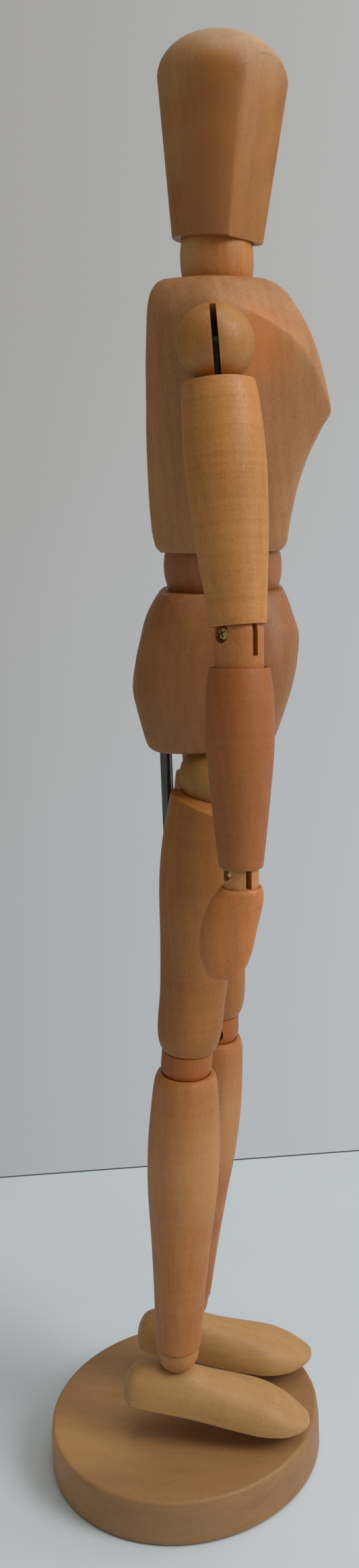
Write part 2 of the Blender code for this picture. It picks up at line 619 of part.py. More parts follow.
def make_leg(side):
    sign = SIDES[side]
    place = Vector((sign * HIP_CENTRE[0], *HIP_CENTRE[1:]))
    hip = frame("hip_" + side, figure, place)

    # Hip ball: a kerf open downwards takes the thigh's tongue, and a flared hole above takes the spring.
    ball_cuts = [
        box((-KERF / 2, -20, -20), (KERF / 2, 20, 3.4)),
        cylinder_x(PIN_HOLE, -20, 20),
        cone(3.1, 4.9, 5.6, HIP_RADIUS + 1, BALL_SIDES),
    ]
    piece("hip_ball_" + side, ball(HIP_RADIUS), pale_wood, hip, ball_cuts)
    piece("hip_pin_" + side, cylinder_x(PIN_RADIUS, -8, 8), bare_steel, hip)
    top = HIP_SPRING_TOP - HIP_CENTRE[2] - GAP
    hip_spring = frame("hip_spring_axis_" + side, figure, place)
    piece("hip_spring_" + side, spring(10.6, top, 6.4), bare_steel, hip_spring)

    # Thigh: turned, with its cup cut on a slant so that it can swing forwards.
    leans = [(-THIGH_LEAN[side], "X"), (sign * LEG_INWARD, "Y")]
    thigh = frame("thigh_axis_" + side, hip, (0, 0, 0), leans)
    strap, eye = tongue(5.0, 19.0)
    strap = moved(strap, turn=90)
    piece("hip_tongue_" + side, strap, bare_steel, thigh, [moved(eye, turn=90)])
    knee_at = Vector((0, 0, -THIGH_LENGTH))
    swell = [(10.2, -2), (11.2, -9), (12.0, -21), (11.7, -32), (10.2, -47), (9.1, -61), (8.95, -70.4)]
    rounding = [(8.6, -74.4), (7.9, -77), (7.15, -78.3)]
    outline = [(0, 2), (9.2, 2)] + swell + rounding + peg_hole(KNEE_PEG, -72.3, -78.3)[::-1]
    shape = turned(outline)
    geometry = shape.verts[:] + shape.edges[:] + shape.faces[:]
    slant = Vector((0, -0.224, 0.975))
    cut_edges = bmesh.ops.bisect_plane(
        shape, geom=geometry, plane_co=(0, 0, -7.0), plane_no=slant, clear_outer=True, dist=0.0001
    )["geom_cut"]
    rim = [item for item in cut_edges if isinstance(item, bmesh.types.BMEdge)]
    bmesh.ops.contextual_create(shape, geom=rim)
    bmesh.ops.recalc_face_normals(shape, faces=shape.faces)
    thigh_cuts = [socket(HIP_RADIUS), mortise(5.0, 19.4, turn=90)]
    piece("thigh_" + side, shape, pale_wood, thigh, thigh_cuts)

    # Knee bullet: pegged into the thigh, with a kerf open downwards and its screw head inside the leg.
    peg = [(0, 10.0), (KNEE_PEG - 0.5, 10.0), (KNEE_PEG, 9.5), (KNEE_PEG, 4.1)]
    peg += [(KNEE_RADIUS - 0.2, 4.1), (KNEE_RADIUS, 3.7)]
    round_end = arc((0, 0), KNEE_RADIUS, 0, -66, 3) + [(0, -KNEE_RADIUS)]
    head_room = sorted((-sign * (KNEE_SEAT - GAP), -sign * 20))
    knee_cuts = [
        box((-KERF / 2, -20, -20), (KERF / 2, 20, 3.2)),
        cylinder_x(PIN_HOLE, *sorted((sign * KNEE_SEAT, -sign * 20))),
        cylinder_x(KNEE_SCREW_HEAD + SCREW_ROOM, *head_room, SCREW_SIDES),
    ]
    knee_cuts = [moved(cut, knee_at) for cut in knee_cuts]
    knee_shape = moved(turned(peg + round_end, BALL_SIDES), knee_at)
    piece("knee_bullet_" + side, knee_shape, joint_wood, thigh, knee_cuts)
    knee_screw = moved(screw(KNEE_SCREW_HEAD, KNEE_SEAT), turn=-sign * 90, axis="Y")
    piece("knee_screw_" + side, moved(knee_screw, knee_at), brass, thigh)

    # Shank: turned calf on a flat tongue.
    bend = THIGH_LEAN[side] - SHANK_LEAN[side]
    shank = frame("knee_" + side, thigh, knee_at, [(bend, "X"), (-sign * LEG_INWARD, "Y")])
    strap, eye = tongue(5.0, 17.0)
    piece("knee_tongue_" + side, moved(strap, turn=90), bare_steel, shank, [moved(eye, turn=90)])
    ankle_at = Vector((0, 0, -SHANK_LENGTH))
    swell = [(7.9, -2.8), (8.8, -5.6), (9.5, -13), (10.15, -25), (9.9, -39), (8.5, -56), (7.3, -74)]
    outline = cup_above(KNEE_RADIUS, -2.8) + swell + [(6.55, -88.9), (6.2, -89.5)]
    outline += peg_hole(ANKLE_PEG, -82.4, -89.5)[::-1]
    piece("shank_" + side, turned(outline), pale_wood, shank, [mortise(5.0, 17.4, turn=90)])

    # Ankle ball: pegged into the shank, where it turns.
    ankle = frame("ankle_" + side, shank, ankle_at)
    peg = [(0, 9.0), (ANKLE_PEG - 0.4, 9.0), (ANKLE_PEG, 8.6), (ANKLE_PEG, 2.0)]
    peg += [(ANKLE_RADIUS - 0.4, 2.0), (ANKLE_RADIUS, 1.6)]
    round_end = arc((0, 0), ANKLE_RADIUS, 0, -66, 3) + [(0, -ANKLE_RADIUS)]
    piece("ankle_ball_" + side, turned(peg + round_end, BALL_SIDES), pale_wood, ankle)

    # Foot: a club with a flat sole, pitched toe down. Each section is
    # (distance forward, half width, sole, top).
    foot = frame("foot_" + side, ankle, (0, 0, 0), [(FOOT_PITCH + SHANK_LEAN[side], "X")])
    sections = [
        (-13.4, 3.6, -16.2, -10.0),
        (-11.6, 5.2, -17.1, -7.6),
        (-8, 6.1, -17.2, -6.0),
        (-3, 6.5, -17.2, -4.8),
        (4, 6.9, -17.2, -4.9),
        (11, 7.8, -17.2, -6.3),
        (19, 8.8, -17.2, -7.2),
        (27, 9.0, -17.2, -8.0),
        (34, 8.1, -16.9, -9.2),
        (39, 6.2, -16.1, -10.6),
        (42.4, 3.2, -14.8, -12.0),
    ]
    rings = [foot_ring(*section) for section in sections]
    piece("foot_" + side + "_block", lofted(rings), pale_wood, foot, [socket(ANKLE_RADIUS)])


for side in SIDES:
    make_arm(side)
    make_leg(side)
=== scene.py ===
"""Jointed wooden artist's figure of a woman on a steel rod and round base, dressed for a studio picture."""

import json
import math

import bmesh
import bpy
import numpy as np
from mathutils import Matrix, Vector


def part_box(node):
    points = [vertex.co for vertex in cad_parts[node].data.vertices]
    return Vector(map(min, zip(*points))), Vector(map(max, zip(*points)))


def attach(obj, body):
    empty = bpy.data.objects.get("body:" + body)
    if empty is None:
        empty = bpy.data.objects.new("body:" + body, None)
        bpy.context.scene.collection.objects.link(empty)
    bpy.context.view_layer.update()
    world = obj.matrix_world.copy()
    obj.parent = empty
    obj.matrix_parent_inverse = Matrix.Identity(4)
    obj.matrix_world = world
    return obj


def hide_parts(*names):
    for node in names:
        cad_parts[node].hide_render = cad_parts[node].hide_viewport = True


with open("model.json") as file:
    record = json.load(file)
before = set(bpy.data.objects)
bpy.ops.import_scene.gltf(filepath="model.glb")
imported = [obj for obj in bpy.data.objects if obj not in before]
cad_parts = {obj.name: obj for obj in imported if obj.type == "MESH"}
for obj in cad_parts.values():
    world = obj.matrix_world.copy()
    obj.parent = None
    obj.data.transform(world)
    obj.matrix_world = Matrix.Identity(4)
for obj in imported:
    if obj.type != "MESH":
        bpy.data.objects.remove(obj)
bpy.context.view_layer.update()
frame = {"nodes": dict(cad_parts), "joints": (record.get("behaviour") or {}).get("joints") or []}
joints = {joint["name"]: joint for joint in frame["joints"]}

# Base disc.
# A thick disc of beech, turned on a lathe with an eased upper edge, sanded and lightly oiled.
# It stands on its flat underside, and the rod is pushed into a blind hole near its middle.
MM = 0.001
SMOOTH_BELOW = math.radians(38)


def rounded(outline, radius, steps=4):
    """The outline with each inner corner eased by a small arc."""
    points = [Vector(point) for point in outline]
    eased = [tuple(points[0])]
    for before, corner, after in zip(points, points[1:], points[2:]):
        reach = min(radius, 0.45 * (before - corner).length, 0.45 * (after - corner).length)
        start = corner + (before - corner).normalized() * reach
        end = corner + (after - corner).normalized() * reach
        for step in range(steps + 1):
            t = step / steps
            eased.append(tuple(start.lerp(corner, t).lerp(corner.lerp(end, t), t)))
    return eased + [tuple(points[-1])]


def stood(name, bm, place):
    """Makes a piece from a mesh in millimetres and stands it in its own frame."""
    bmesh.ops.scale(bm, vec=(MM, MM, MM), verts=bm.verts)
    bmesh.ops.recalc_face_normals(bm, faces=bm.faces)
    mesh = bpy.data.meshes.new(name)
    bm.to_mesh(mesh)
    bm.free()
    made = bpy.data.objects.new(name, mesh)
    bpy.context.scene.collection.objects.link(made)
    made.matrix_world = place
    mesh.shade_smooth()
    mesh.set_sharp_from_angle(angle=SMOOTH_BELOW)
    return made


def lathe(outline, sides=112):
    """A turned form about Z, from an outline of (radius, height) that runs from axis to axis."""
    bm = bmesh.new()
    turns = [(math.cos(math.tau * k / sides), math.sin(math.tau * k / sides)) for k in range(sides)]
    rows = []
    for radius, height in outline:
        if radius < 1e-4:
            rows.append([bm.verts.new((0, 0, height))])
        else:
            rows.append([bm.verts.new((radius * c, radius * s, height)) for c, s in turns])
    for upper, lower in zip(rows, rows[1:]):
        for k in range(sides):
            after = (k + 1) % sides
            corners = [upper[k % len(upper)], lower[k % len(lower)]]
            corners += [lower[after % len(lower)], upper[after % len(upper)]]
            bm.faces.new(list(dict.fromkeys(corners)))
    return bm


def add(tree, kind, settings=None, **sockets):
    """Adds a shader node; a socket takes a number, a colour or another node's output."""
    made = tree.nodes.new(kind)
    for key, value in (settings or {}).items():
        setattr(made, key, value)
    for key, value in sockets.items():
        socket = made.inputs[int(key[1:]) if key[0] == "_" else key.replace("_", " ")]
        if isinstance(value, bpy.types.NodeSocket):
            tree.links.new(value, socket)
        else:
            socket.default_value = value
    return made


def ramp(tree, value, stops):
    """A colour ramp over a value, from (place, colour) stops."""
    made = add(tree, "ShaderNodeValToRGB", Fac=value)
    made.color_ramp.elements[0].position = stops[0][0]
    made.color_ramp.elements[1].position = stops[-1][0]
    for place, _ in stops[1:-1]:
        made.color_ramp.elements.new(place)
    for element, (_, colour) in zip(made.color_ramp.elements, stops):
        element.color = (*colour, 1) if isinstance(colour, tuple) else (colour, colour, colour, 1)
    return made.outputs["Color"]


def blend_colour(tree, kind, share, below, above):
    settings = {"data_type": "RGBA", "blend_type": kind}
    return add(tree, "ShaderNodeMix", settings, _0=share, _6=below, _7=above).outputs[2]


def blend_number(tree, share, below, above):
    return add(tree, "ShaderNodeMix", {"data_type": "FLOAT"}, _0=share, _2=below, _3=above).outputs[0]


def calculated(tree, operation, first, second):
    return add(tree, "ShaderNodeMath", {"operation": operation}, _0=first, _1=second).outputs[0]


def measured(tree, operation, first, second):
    made = add(tree, "ShaderNodeVectorMath", {"operation": operation}, _0=first, _1=second)
    return made.outputs["Value"]


def mapped(tree, where, **changes):
    return add(tree, "ShaderNodeMapping", Vector=where, **changes).outputs[0]


def noise(tree, where, scale, detail, rough=0.5):
    made = add(tree, "ShaderNodeTexNoise", Vector=where, Scale=scale, Detail=detail, Roughness=rough)
    return made.outputs["Fac"]


def ranged(tree, value, low, high, first, last, kind="LINEAR"):
    """Moves a value's run from low to high onto a run from first to last."""
    made = add(
        tree, "ShaderNodeMapRange", {"interpolation_type": kind}, Value=value,
        From_Min=low, From_Max=high, To_Min=first, To_Max=last,
    )
    return made.outputs[0]


def blank_finish(name):
    """A new material with its node tree, its shader and the place on the piece."""
    material = bpy.data.materials.new(name)
    material.use_nodes = True
    tree = material.node_tree
    where = add(tree, "ShaderNodeTexCoord").outputs["Object"]
    return material, tree, tree.nodes["Principled BSDF"], where


def surfaced(tree, shader, colour, rough, relief, strength, depth):
    """Gives a shader its colour and roughness, and a fine relief of a depth in metres."""
    bump = add(tree, "ShaderNodeBump", Strength=strength, Distance=depth, Height=relief).outputs[0]
    for socket, value in (("Base Color", colour), ("Roughness", rough), ("Normal", bump)):
        tree.links.new(value, shader.inputs[socket])


def beech(name, colour, seed, lathe_marks=0.0, along=(0, 0), rough=0.5, figure=1.0, patches=()):
    """Sanded, oiled beech of a mean colour.

    The grain runs along Z unless it is laid over by turns about X and Y. A figure below one is plainer wood.
    Each painted spot is (place, reach, colour): a soft spot painted redder, paler or darker, most of them
    painted highlights and painted reflected light.
    """
    material, tree, shader, where = blank_finish(name)
    place = mapped(tree, where, Scale=(1000, 1000, 1000))
    shift = (seed * 37.1 % 200, seed * 61.7 % 200, seed * 83.3 % 200)
    laid = (math.radians(along[0]), math.radians(along[1]), 0)
    wood = mapped(tree, place, Location=shift, Rotation=laid)

    # Broad soft bands and fine fibres are drawn out along the grain, with slow drifts of tone between them.
    long = mapped(tree, wood, Scale=(1.0, 1.0, 0.05))
    band = noise(tree, long, 0.16, 2.0)
    fibre = noise(tree, long, 1.1, 6.0, 0.62)
    drift = noise(tree, wood, 0.06, 3.0, 0.55)
    grit = ramp(tree, noise(tree, wood, 1.5, 5.0, 0.75), [(0.3, 0.0), (0.7, 1.0)])

    # Growth rings lean through the piece, and show as faint long arches.
    heart = mapped(tree, wood, Rotation=(math.radians(6), math.radians(-4), 0))
    rings = add(
        tree, "ShaderNodeTexWave", {"wave_type": "RINGS", "rings_direction": "Z", "wave_profile": "SIN"},
        Vector=heart, Scale=0.11, Distortion=3.0, Detail=3.0, Detail_Scale=0.4, Detail_Roughness=0.6,
    ).outputs["Fac"]

    # Short dark ray flecks lie along the grain.
    dashes = mapped(tree, wood, Scale=(1.0, 1.0, 0.22))
    fleck = ramp(tree, noise(tree, dashes, 1.9, 2.0), [(0.63, 0.0), (0.74, 1.0)])
    freckle = calculated(tree, "MULTIPLY", fleck, 0.22)

    # The turning tool leaves fine rings round the piece.
    round_cut = mapped(tree, place, Location=shift, Scale=(0.0, 0.0, 1.0))
    cut = ramp(tree, noise(tree, round_cut, 0.75, 5.0, 0.7), [(0.36, 0.0), (0.64, 1.0)])

    tone = band
    cut_share = 0.02 + 0.2 * lathe_marks
    for share, layer in ((0.35, fibre), (0.3, drift), (0.05, rings), (cut_share, cut), (0.2, grit)):
        tone = blend_number(tree, share, tone, layer)
    dark = tuple(part * share for part, share in zip(colour, (0.78, 0.69, 0.58)))
    light = tuple(part * share for part, share in zip(colour, (1.18, 1.26, 1.36)))
    spread = 0.16 / figure
    stops = [(max(0.0, 0.5 - spread), dark), (0.5, colour), (min(1.0, 0.5 + spread), light)]
    stained = ramp(tree, tone, stops)
    stained = blend_colour(tree, "MIX", freckle, stained, (*(0.55 * part for part in dark), 1))

    # Painted spots: soft patches of painted light, and a few darker ones, laid over the grain.
    for spot, reach, tint in patches:
        away = measured(tree, "DISTANCE", place, spot)
        share = ranged(tree, away, 0.0, reach, 0.8, 0.0, "SMOOTHSTEP")
        share = calculated(tree, "MULTIPLY", share, tone)
        share = calculated(tree, "MULTIPLY", share, 1.9)
        stained = blend_colour(tree, "MIX", share, stained, (*tint, 1))

    # Handling pales the edges, and the hollows and corners are darkened as painted shade.
    bend = add(tree, "ShaderNodeNewGeometry").outputs["Pointiness"]
    worn = ramp(tree, bend, [(0.52, 0.0), (0.6, 0.3)])
    hollow_shade = ramp(tree, bend, [(0.40, 0.45), (0.48, 0.0)])
    stained = blend_colour(tree, "MIX", worn, stained, (*(min(1.0, 1.2 * part) for part in light), 1))
    stained = blend_colour(tree, "MIX", hollow_shade, stained, (*(0.6 * part for part in dark), 1))

    sheen = ranged(tree, tone, 0.3, 0.7, rough + 0.08, rough - 0.06)
    relief = blend_number(tree, 0.2 + 0.4 * lathe_marks, fibre, cut)
    relief = blend_number(tree, 0.25, relief, grit)
    relief = calculated(tree, "SUBTRACT", relief, freckle)
    surfaced(tree, shader, stained, sheen, relief, 0.3, 0.0002)
    return material


def fitted(piece, material, slot, body, *nodes):
    """Gives a piece its finish, and lets it stand for its CAD nodes on their body."""
    piece.data.materials.clear()
    piece.data.materials.append(material)
    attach(piece, body)
    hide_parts(*nodes)
    return piece


def carved(piece, *tools):
    """Cuts each tool out of a piece, then removes the tool."""
    for tool in tools:
        cut = piece.modifiers.new("cut", "BOOLEAN")
        cut.operation = "DIFFERENCE"
        cut.object = tool
        graph = bpy.context.evaluated_depsgraph_get()
        whole = piece.data
        piece.data = bpy.data.meshes.new_from_object(piece.evaluated_get(graph))
        piece.data.name = whole.name
        piece.modifiers.clear()
        bpy.data.meshes.remove(whole)
        bpy.data.objects.remove(tool)
    piece.data.shade_smooth()
    piece.data.set_sharp_from_angle(angle=SMOOTH_BELOW)
    return piece


def joint_at(name):
    return Vector(joints[name]["pos_m"])


BASE_TOP = 14.0
ROD_HOLE = 1.85
ROD_HOLE_FLOOR = 2.1
BASE_EDGE = [(36, BASE_TOP), (40.4, BASE_TOP), (40.95, 9.5), (41.0, 0.8), (40.2, 0), (36, 0)]
rod_at = joint_at("rod_turn")
base_outline = [(radius, BASE_TOP) for radius in (0, 6, 14, 24, 32)]
base_outline += rounded(BASE_EDGE, 1.1, 6) + [(20, 0), (0, 0)]
base = stood("round_base", lathe(base_outline, 192), Matrix.Identity(4))
hole_outline = [(0, 40), (ROD_HOLE, 40), (ROD_HOLE, ROD_HOLE_FLOOR), (0, ROD_HOLE_FLOOR)]
rod_hole = stood("rod_hole", lathe(hole_outline, 48), Matrix.Translation(rod_at))
# A paler zone painted on the top's back-left is a painted sheen of the room's light.
TOP_PAINTED_SHEEN = [((-4.0, 28.0, 14.0), 32.0, (0.64, 0.34, 0.115))]
base_beech = beech(
    "base_beech", (0.360, 0.179, 0.065), 3, lathe_marks=0.05, along=(90, 0), figure=0.6, patches=TOP_PAINTED_SHEEN
)
fitted(carved(base, rod_hole), base_beech, "base_wood", "base", "base_disc")

# Support rod.
# A straight length of steel wire, blacked and polished bright, that carries the figure.
# Its foot is pushed into the base and its top slides in a hole in the pelvis.
ROD_RADIUS = 1.65
rod_low, rod_high = (end.z / MM for end in map(Vector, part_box("support_rod")))
rod_outline = rounded([(0, rod_high), (ROD_RADIUS, rod_high), (ROD_RADIUS, rod_low), (0, rod_low)], 0.5)
rod = stood("steel_rod", lathe(rod_outline, 48), Matrix.Translation(rod_at))


def blacked_steel():
    """Blacked and polished steel with faint drawing lines along it and a few rubbed spots."""
    material, tree, shader, where = blank_finish("blacked_steel")
    drawn = noise(tree, mapped(tree, where, Scale=(2600, 2600, 16)), 1.0, 5.0)
    rubbed = ramp(tree, noise(tree, where, 260.0, 4.0), [(0.6, 0.0), (0.8, 0.5)])
    colour = ramp(tree, drawn, [(0.3, (0.012, 0.012, 0.014)), (0.7, (0.035, 0.034, 0.036))])
    colour = blend_colour(tree, "MIX", rubbed, colour, (0.11, 0.105, 0.1, 1))
    surfaced(tree, shader, colour, ranged(tree, drawn, 0.3, 0.7, 0.1, 0.24), drawn, 0.12, 0.00005)
    shader.inputs["Metallic"].default_value = 0.35
    shader.inputs["IOR"].default_value = 2.1
    shader.inputs["Coat Weight"].default_value = 0.9
    shader.inputs["Coat Roughness"].default_value = 0.03
    return material


fitted(rod, blacked_steel(), "black_steel", "rod", "support_rod")

# Pelvis.
# A carved beech block, round behind and with a soft belly edge in front. Its flat underside has two cups
# for the hip balls and the rod's hole, and a wide cup above takes the waist ball.
waist_at = joint_at("waist_bend")
WAIST_RADIUS = 15.6
HIP_RADIUS = 9.0
CUP_GAP = 0.25
SPRING_BORE = 2.9
PELVIS_SQUARENESS = 4.0
# The two sides of the figure, with their direction along X.
SIDES = {"right": -1, "left": 1}
# Each row is (height above the waist's centre, back, front, half width), with back and front along Y.
PELVIS_ROWS = [
    (-45.9, 20.9, -11.5, 21.6), (-45.1, 21.6, -12.2, 22.3), (-40.5, 22.8, -14.1, 23.6),
    (-35.5, 23.9, -15.9, 24.3), (-30.5, 24.7, -17.5, 24.4), (-23.5, 23.7, -19.0, 23.4),
    (-18.0, 22.3, -19.5, 21.8), (-12.5, 20.7, -18.1, 19.8), (-6.7, 17.3, -16.1, 17.2),
    (-5.9, 16.5, -15.5, 16.4),
]


def eased_rows(rows, heights):
    """The rows' values at other heights, on curves that never swing past the given values."""
    table = np.array(sorted(rows), float)
    x, y = table[:, 0], table[:, 1:]
    gap = np.diff(x)[:, None]
    rise = np.diff(y, axis=0) / gap
    slope = np.zeros_like(y)
    slope[0], slope[-1] = rise[0], rise[-1]
    same = rise[:-1] * rise[1:] > 0
    mean = 2 * rise[:-1] * rise[1:] / np.where(same, rise[:-1] + rise[1:], 1)
    slope[1:-1] = np.where(same, mean, 0)
    found = []
    for height in heights:
        k = min(max(np.searchsorted(x, height, "right") - 1, 0), len(x) - 2)
        t = (height - x[k]) / gap[k, 0]
        a, b = 2 * t**3 - 3 * t**2 + 1, t**3 - 2 * t**2 + t
        c, d = -2 * t**3 + 3 * t**2, t**3 - t**2
        found.append((height, *(a * y[k] + b * gap[k] * slope[k] + c * y[k + 1] + d * gap[k] * slope[k + 1])))
    return found


def oval(half_x, half_y, middle_y, height, squareness, count):
    """A ring between an ellipse (squareness 2) and a rectangle."""
    ring = []
    for k in range(count):
        c, s = math.cos(math.tau * k / count), math.sin(math.tau * k / count)
        x = half_x * math.copysign(abs(c) ** (2 / squareness), c)
        ring.append((x, middle_y + half_y * math.copysign(abs(s) ** (2 / squareness), s), height))
    return ring


def skinned(rings):
    """A closed form over rings of equal count, its flat ends fanned from their middles."""
    bm = bmesh.new()
    loops = [[bm.verts.new(point) for point in ring] for ring in rings]
    for lower, upper in zip(loops, loops[1:]):
        for k in range(len(lower)):
            after = (k + 1) % len(lower)
            bm.faces.new((lower[k], lower[after], upper[after], upper[k]))
    for loop in (loops[0], loops[-1]):
        middle = bm.verts.new(sum((corner.co for corner in loop), Vector()) / len(loop))
        for k in range(len(loop)):
            bm.faces.new((loop[k], loop[(k + 1) % len(loop)], middle))
    return bm


def ball_form(radius, steps, sides, turn):
    """A ball about Z. The small turn keeps its edges off the edges of the piece it meets."""
    outline = [(radius * math.cos(a), radius * math.sin(a)) for a in np.radians(np.linspace(90, -90, steps))]
    ball = lathe([(0, radius)] + outline[1:-1] + [(0, -radius)], sides)
    bmesh.ops.rotate(ball, verts=ball.verts, matrix=Matrix.Rotation(turn, 3, "Z"))
    return ball


def ball_tool(radius, centre, place):
    tool = ball_form(radius, 41, 80, 0.021)
    bmesh.ops.translate(tool, vec=centre, verts=tool.verts)
    return stood("ball_tool", tool, place)


def aimed(tool, way):
    """Swings a tool from Z to another direction."""
    turn = Vector((0, 0, 1)).rotation_difference(way).to_matrix()
    bmesh.ops.rotate(tool, verts=tool.verts, matrix=turn)


def rod_tool(radius, start, end, place):
    """A straight round tool between two points."""
    run = Vector(end) - Vector(start)
    tool = lathe([(0, run.length), (radius, run.length), (radius, 0), (0, 0)], 48)
    aimed(tool, run)
    bmesh.ops.translate(tool, vec=start, verts=tool.verts)
    return stood("rod_tool", tool, place)


pelvis_heights = [*np.linspace(-45.9, -45.1, 5), *np.linspace(-44.4, -7.4, 52), *np.linspace(-6.7, -5.9, 5)]
pelvis_rings = [
    oval(half, (back - front) / 2, (back + front) / 2, height, PELVIS_SQUARENESS, 128)
    for height, back, front, half in eased_rows(PELVIS_ROWS, pelvis_heights)
]
pelvis_place = Matrix.Translation(waist_at)
pelvis = stood("pelvis", skinned(pelvis_rings), pelvis_place)
pelvis_tools = [ball_tool(WAIST_RADIUS + CUP_GAP, (0, 0, 0), pelvis_place)]
for side in SIDES:
    hip_from_waist = (joint_at("hip_swing_" + side) - waist_at) / MM
    pelvis_tools.append(ball_tool(HIP_RADIUS + CUP_GAP, hip_from_waist, pelvis_place))
    spring_top = hip_from_waist + Vector((0, 0, 30.0))
    pelvis_tools.append(rod_tool(SPRING_BORE, hip_from_waist, spring_top, pelvis_place))
ROD_BORE = 1.9
rod_from_waist = (rod_at - waist_at) / MM
rod_bore_top = Vector((rod_from_waist.x, rod_from_waist.y, rod_high + 0.3 - waist_at.z / MM))
pelvis_tools.append(rod_tool(ROD_BORE, rod_bore_top - Vector((0, 0, 36)), rod_bore_top, pelvis_place))
pelvis_beech = beech("pelvis_beech", (0.329, 0.122, 0.030), 7)
fitted(carved(pelvis, *pelvis_tools), pelvis_beech, "torso_wood", "pelvis", "pelvis_block")

# Hip balls.
# Turned beech balls under the pelvis, pulled up into its cups by hidden springs. A saw kerf from below
# takes the thigh's steel tongue, held by a cross pin.
KERF = 1.5
HIP_KERF_TOP = 3.4
PIN_HOLE = 1.12
# Tools that cut right through run this far.
CLEAR = 20


def turned_ball(name, radius, place):
    return stood(name, ball_form(radius, 49, 96, 0.033), place)


def cross_hole(radius, half, height, place):
    """The hole for a pin that lies across a piece."""
    return rod_tool(radius, (-half, 0, height), (half, 0, height), place)


def side_beech(name, side, colour, seed, **looks):
    """Beech for one of a pair, with the left piece from another part of the plank."""
    return beech(name + "_" + side, colour, seed + (side == "left"), **looks)


def box_tool(low, high, place, turn=0.0):
    tool = bmesh.new()
    bmesh.ops.create_cube(tool, size=1)
    bmesh.ops.scale(tool, vec=Vector(high) - Vector(low), verts=tool.verts)
    bmesh.ops.translate(tool, vec=(Vector(high) + Vector(low)) / 2, verts=tool.verts)
    bmesh.ops.rotate(tool, verts=tool.verts, matrix=Matrix.Rotation(turn, 3, "Z"))
    return stood("box_tool", tool, place)


for side in SIDES:
    hip_place = Matrix.Translation(joint_at("hip_swing_" + side))
    hip_ball = turned_ball("hip_ball_" + side + "_turned", HIP_RADIUS, hip_place)
    flare = stood("flare", lathe([(0, 10), (5.6, 10), (3.1, 4.9), (0, 4.9)], 48), hip_place)
    kerf = box_tool((-KERF / 2, -CLEAR, -CLEAR), (KERF / 2, CLEAR, HIP_KERF_TOP), hip_place)
    pin_hole = cross_hole(PIN_HOLE, CLEAR, 0, hip_place)
    hip_beech = side_beech("hip_beech", side, (0.371, 0.170, 0.030), 11, lathe_marks=0.2)
    fitted(carved(hip_ball, kerf, pin_hole, flare), hip_beech, "pale_wood", "hip_" + side, "hip_ball_" + side)

# Thighs.
# Turned beech, swelling below the hip and drawn in towards the knee. The upper end is cupped for the hip
# ball and cut on a slant, and the lower end is bored for the knee's peg.
KNEE_RADIUS = 7.1
MORTISE_HALF = 0.8
SLANT_WAY = (0, -0.224, 0.975)
SLANT_DROP = 6.8


def standing(origin, up, across):
    """A piece's frame: Z along its length, X as near as may be to the given direction."""
    z = Vector(up).normalized()
    x = Vector(across)
    x = (x - z * x.dot(z)).normalized()
    y = z.cross(x)
    return Matrix.Translation(origin) @ Matrix((x, y, z)).transposed().to_4x4()


def shifted(place, origin):
    """The same frame at another origin."""
    return Matrix.Translation(origin) @ place.to_3x3().to_4x4()


def curve_through(knots, steps=8):
    """Points of a smooth curve through the knots."""
    knots = [Vector(knot) for knot in knots]
    padded = [2 * knots[0] - knots[1]] + knots + [2 * knots[-1] - knots[-2]]
    points = []
    for before, start, end, after in zip(padded, padded[1:], padded[2:], padded[3:]):
        for step in range(steps):
            t = step / steps
            bend = 2 * before - 5 * start + 4 * end - after
            swing = 3 * start - before - 3 * end + after
            points.append(tuple(start + 0.5 * t * ((end - before) + t * (bend + t * swing))))
    return points + [tuple(knots[-1])]


def cup(radius, centre, low, high, steps=14):
    """Points (radius, height) on a cup's wall, by angles above the horizontal."""
    angles = np.radians(np.linspace(low, high, steps))
    return [(max(radius * math.cos(a), 0), centre + radius * math.sin(a)) for a in angles]


THIGH_SWELL = [
    (9.2, 2.0), (10.2, -2), (11.2, -9), (12.0, -21), (11.7, -32), (10.2, -47), (9.1, -61), (8.95, -70.4),
    (8.6, -74.4), (7.9, -77.0), (7.15, -78.3),
]
knee_socket = rounded([(7.15, -78.3), (4.85, -78.3), (4.85, -72.3), (0, -72.3)], 0.3)[1:]
thigh_outline = [(0, 2.0)] + curve_through(THIGH_SWELL) + knee_socket
thigh_places = {}
for side in SIDES:
    hip_at = joint_at("hip_swing_" + side)
    knee_at = joint_at("knee_bend_" + side)
    thigh_place = standing(hip_at, hip_at - knee_at, (1, 0, 0))
    thigh_places[side] = thigh_place
    thigh = stood("thigh_" + side + "_turned", lathe(thigh_outline), thigh_place)
    slant = lathe([(0, 60), (60, 60), (60, -30), (0, 5.5)], 96)
    aimed(slant, SLANT_WAY)
    bmesh.ops.translate(slant, vec=(0, 0, -SLANT_DROP), verts=slant.verts)
    hip_cup = ball_tool(HIP_RADIUS + CUP_GAP, (0, 0, 0), thigh_place)
    mortise = box_tool((-MORTISE_HALF, -2.8, -19.4), (MORTISE_HALF, 2.8, 0), thigh_place)
    carved(thigh, stood("slant", slant, thigh_place), hip_cup, mortise)
    thigh_beech = side_beech("thigh_beech", side, (0.366, 0.131, 0.019), 21, lathe_marks=0.25)
    fitted(thigh, thigh_beech, "pale_wood", "thigh_" + side, "thigh_" + side)

# Knee bullets.
# Short turned pegs glued into the thighs, with a round lower end and a saw kerf for the shank's tongue.
# A brass pan-head screw across the kerf is the knee's hinge, its head sunk on the inner side.
KNEE_SCREW = 2.0
KNEE_SEAT = 4.6
KNEE_SUNK = 2.5
KNEE_KERF_TOP = 3.2


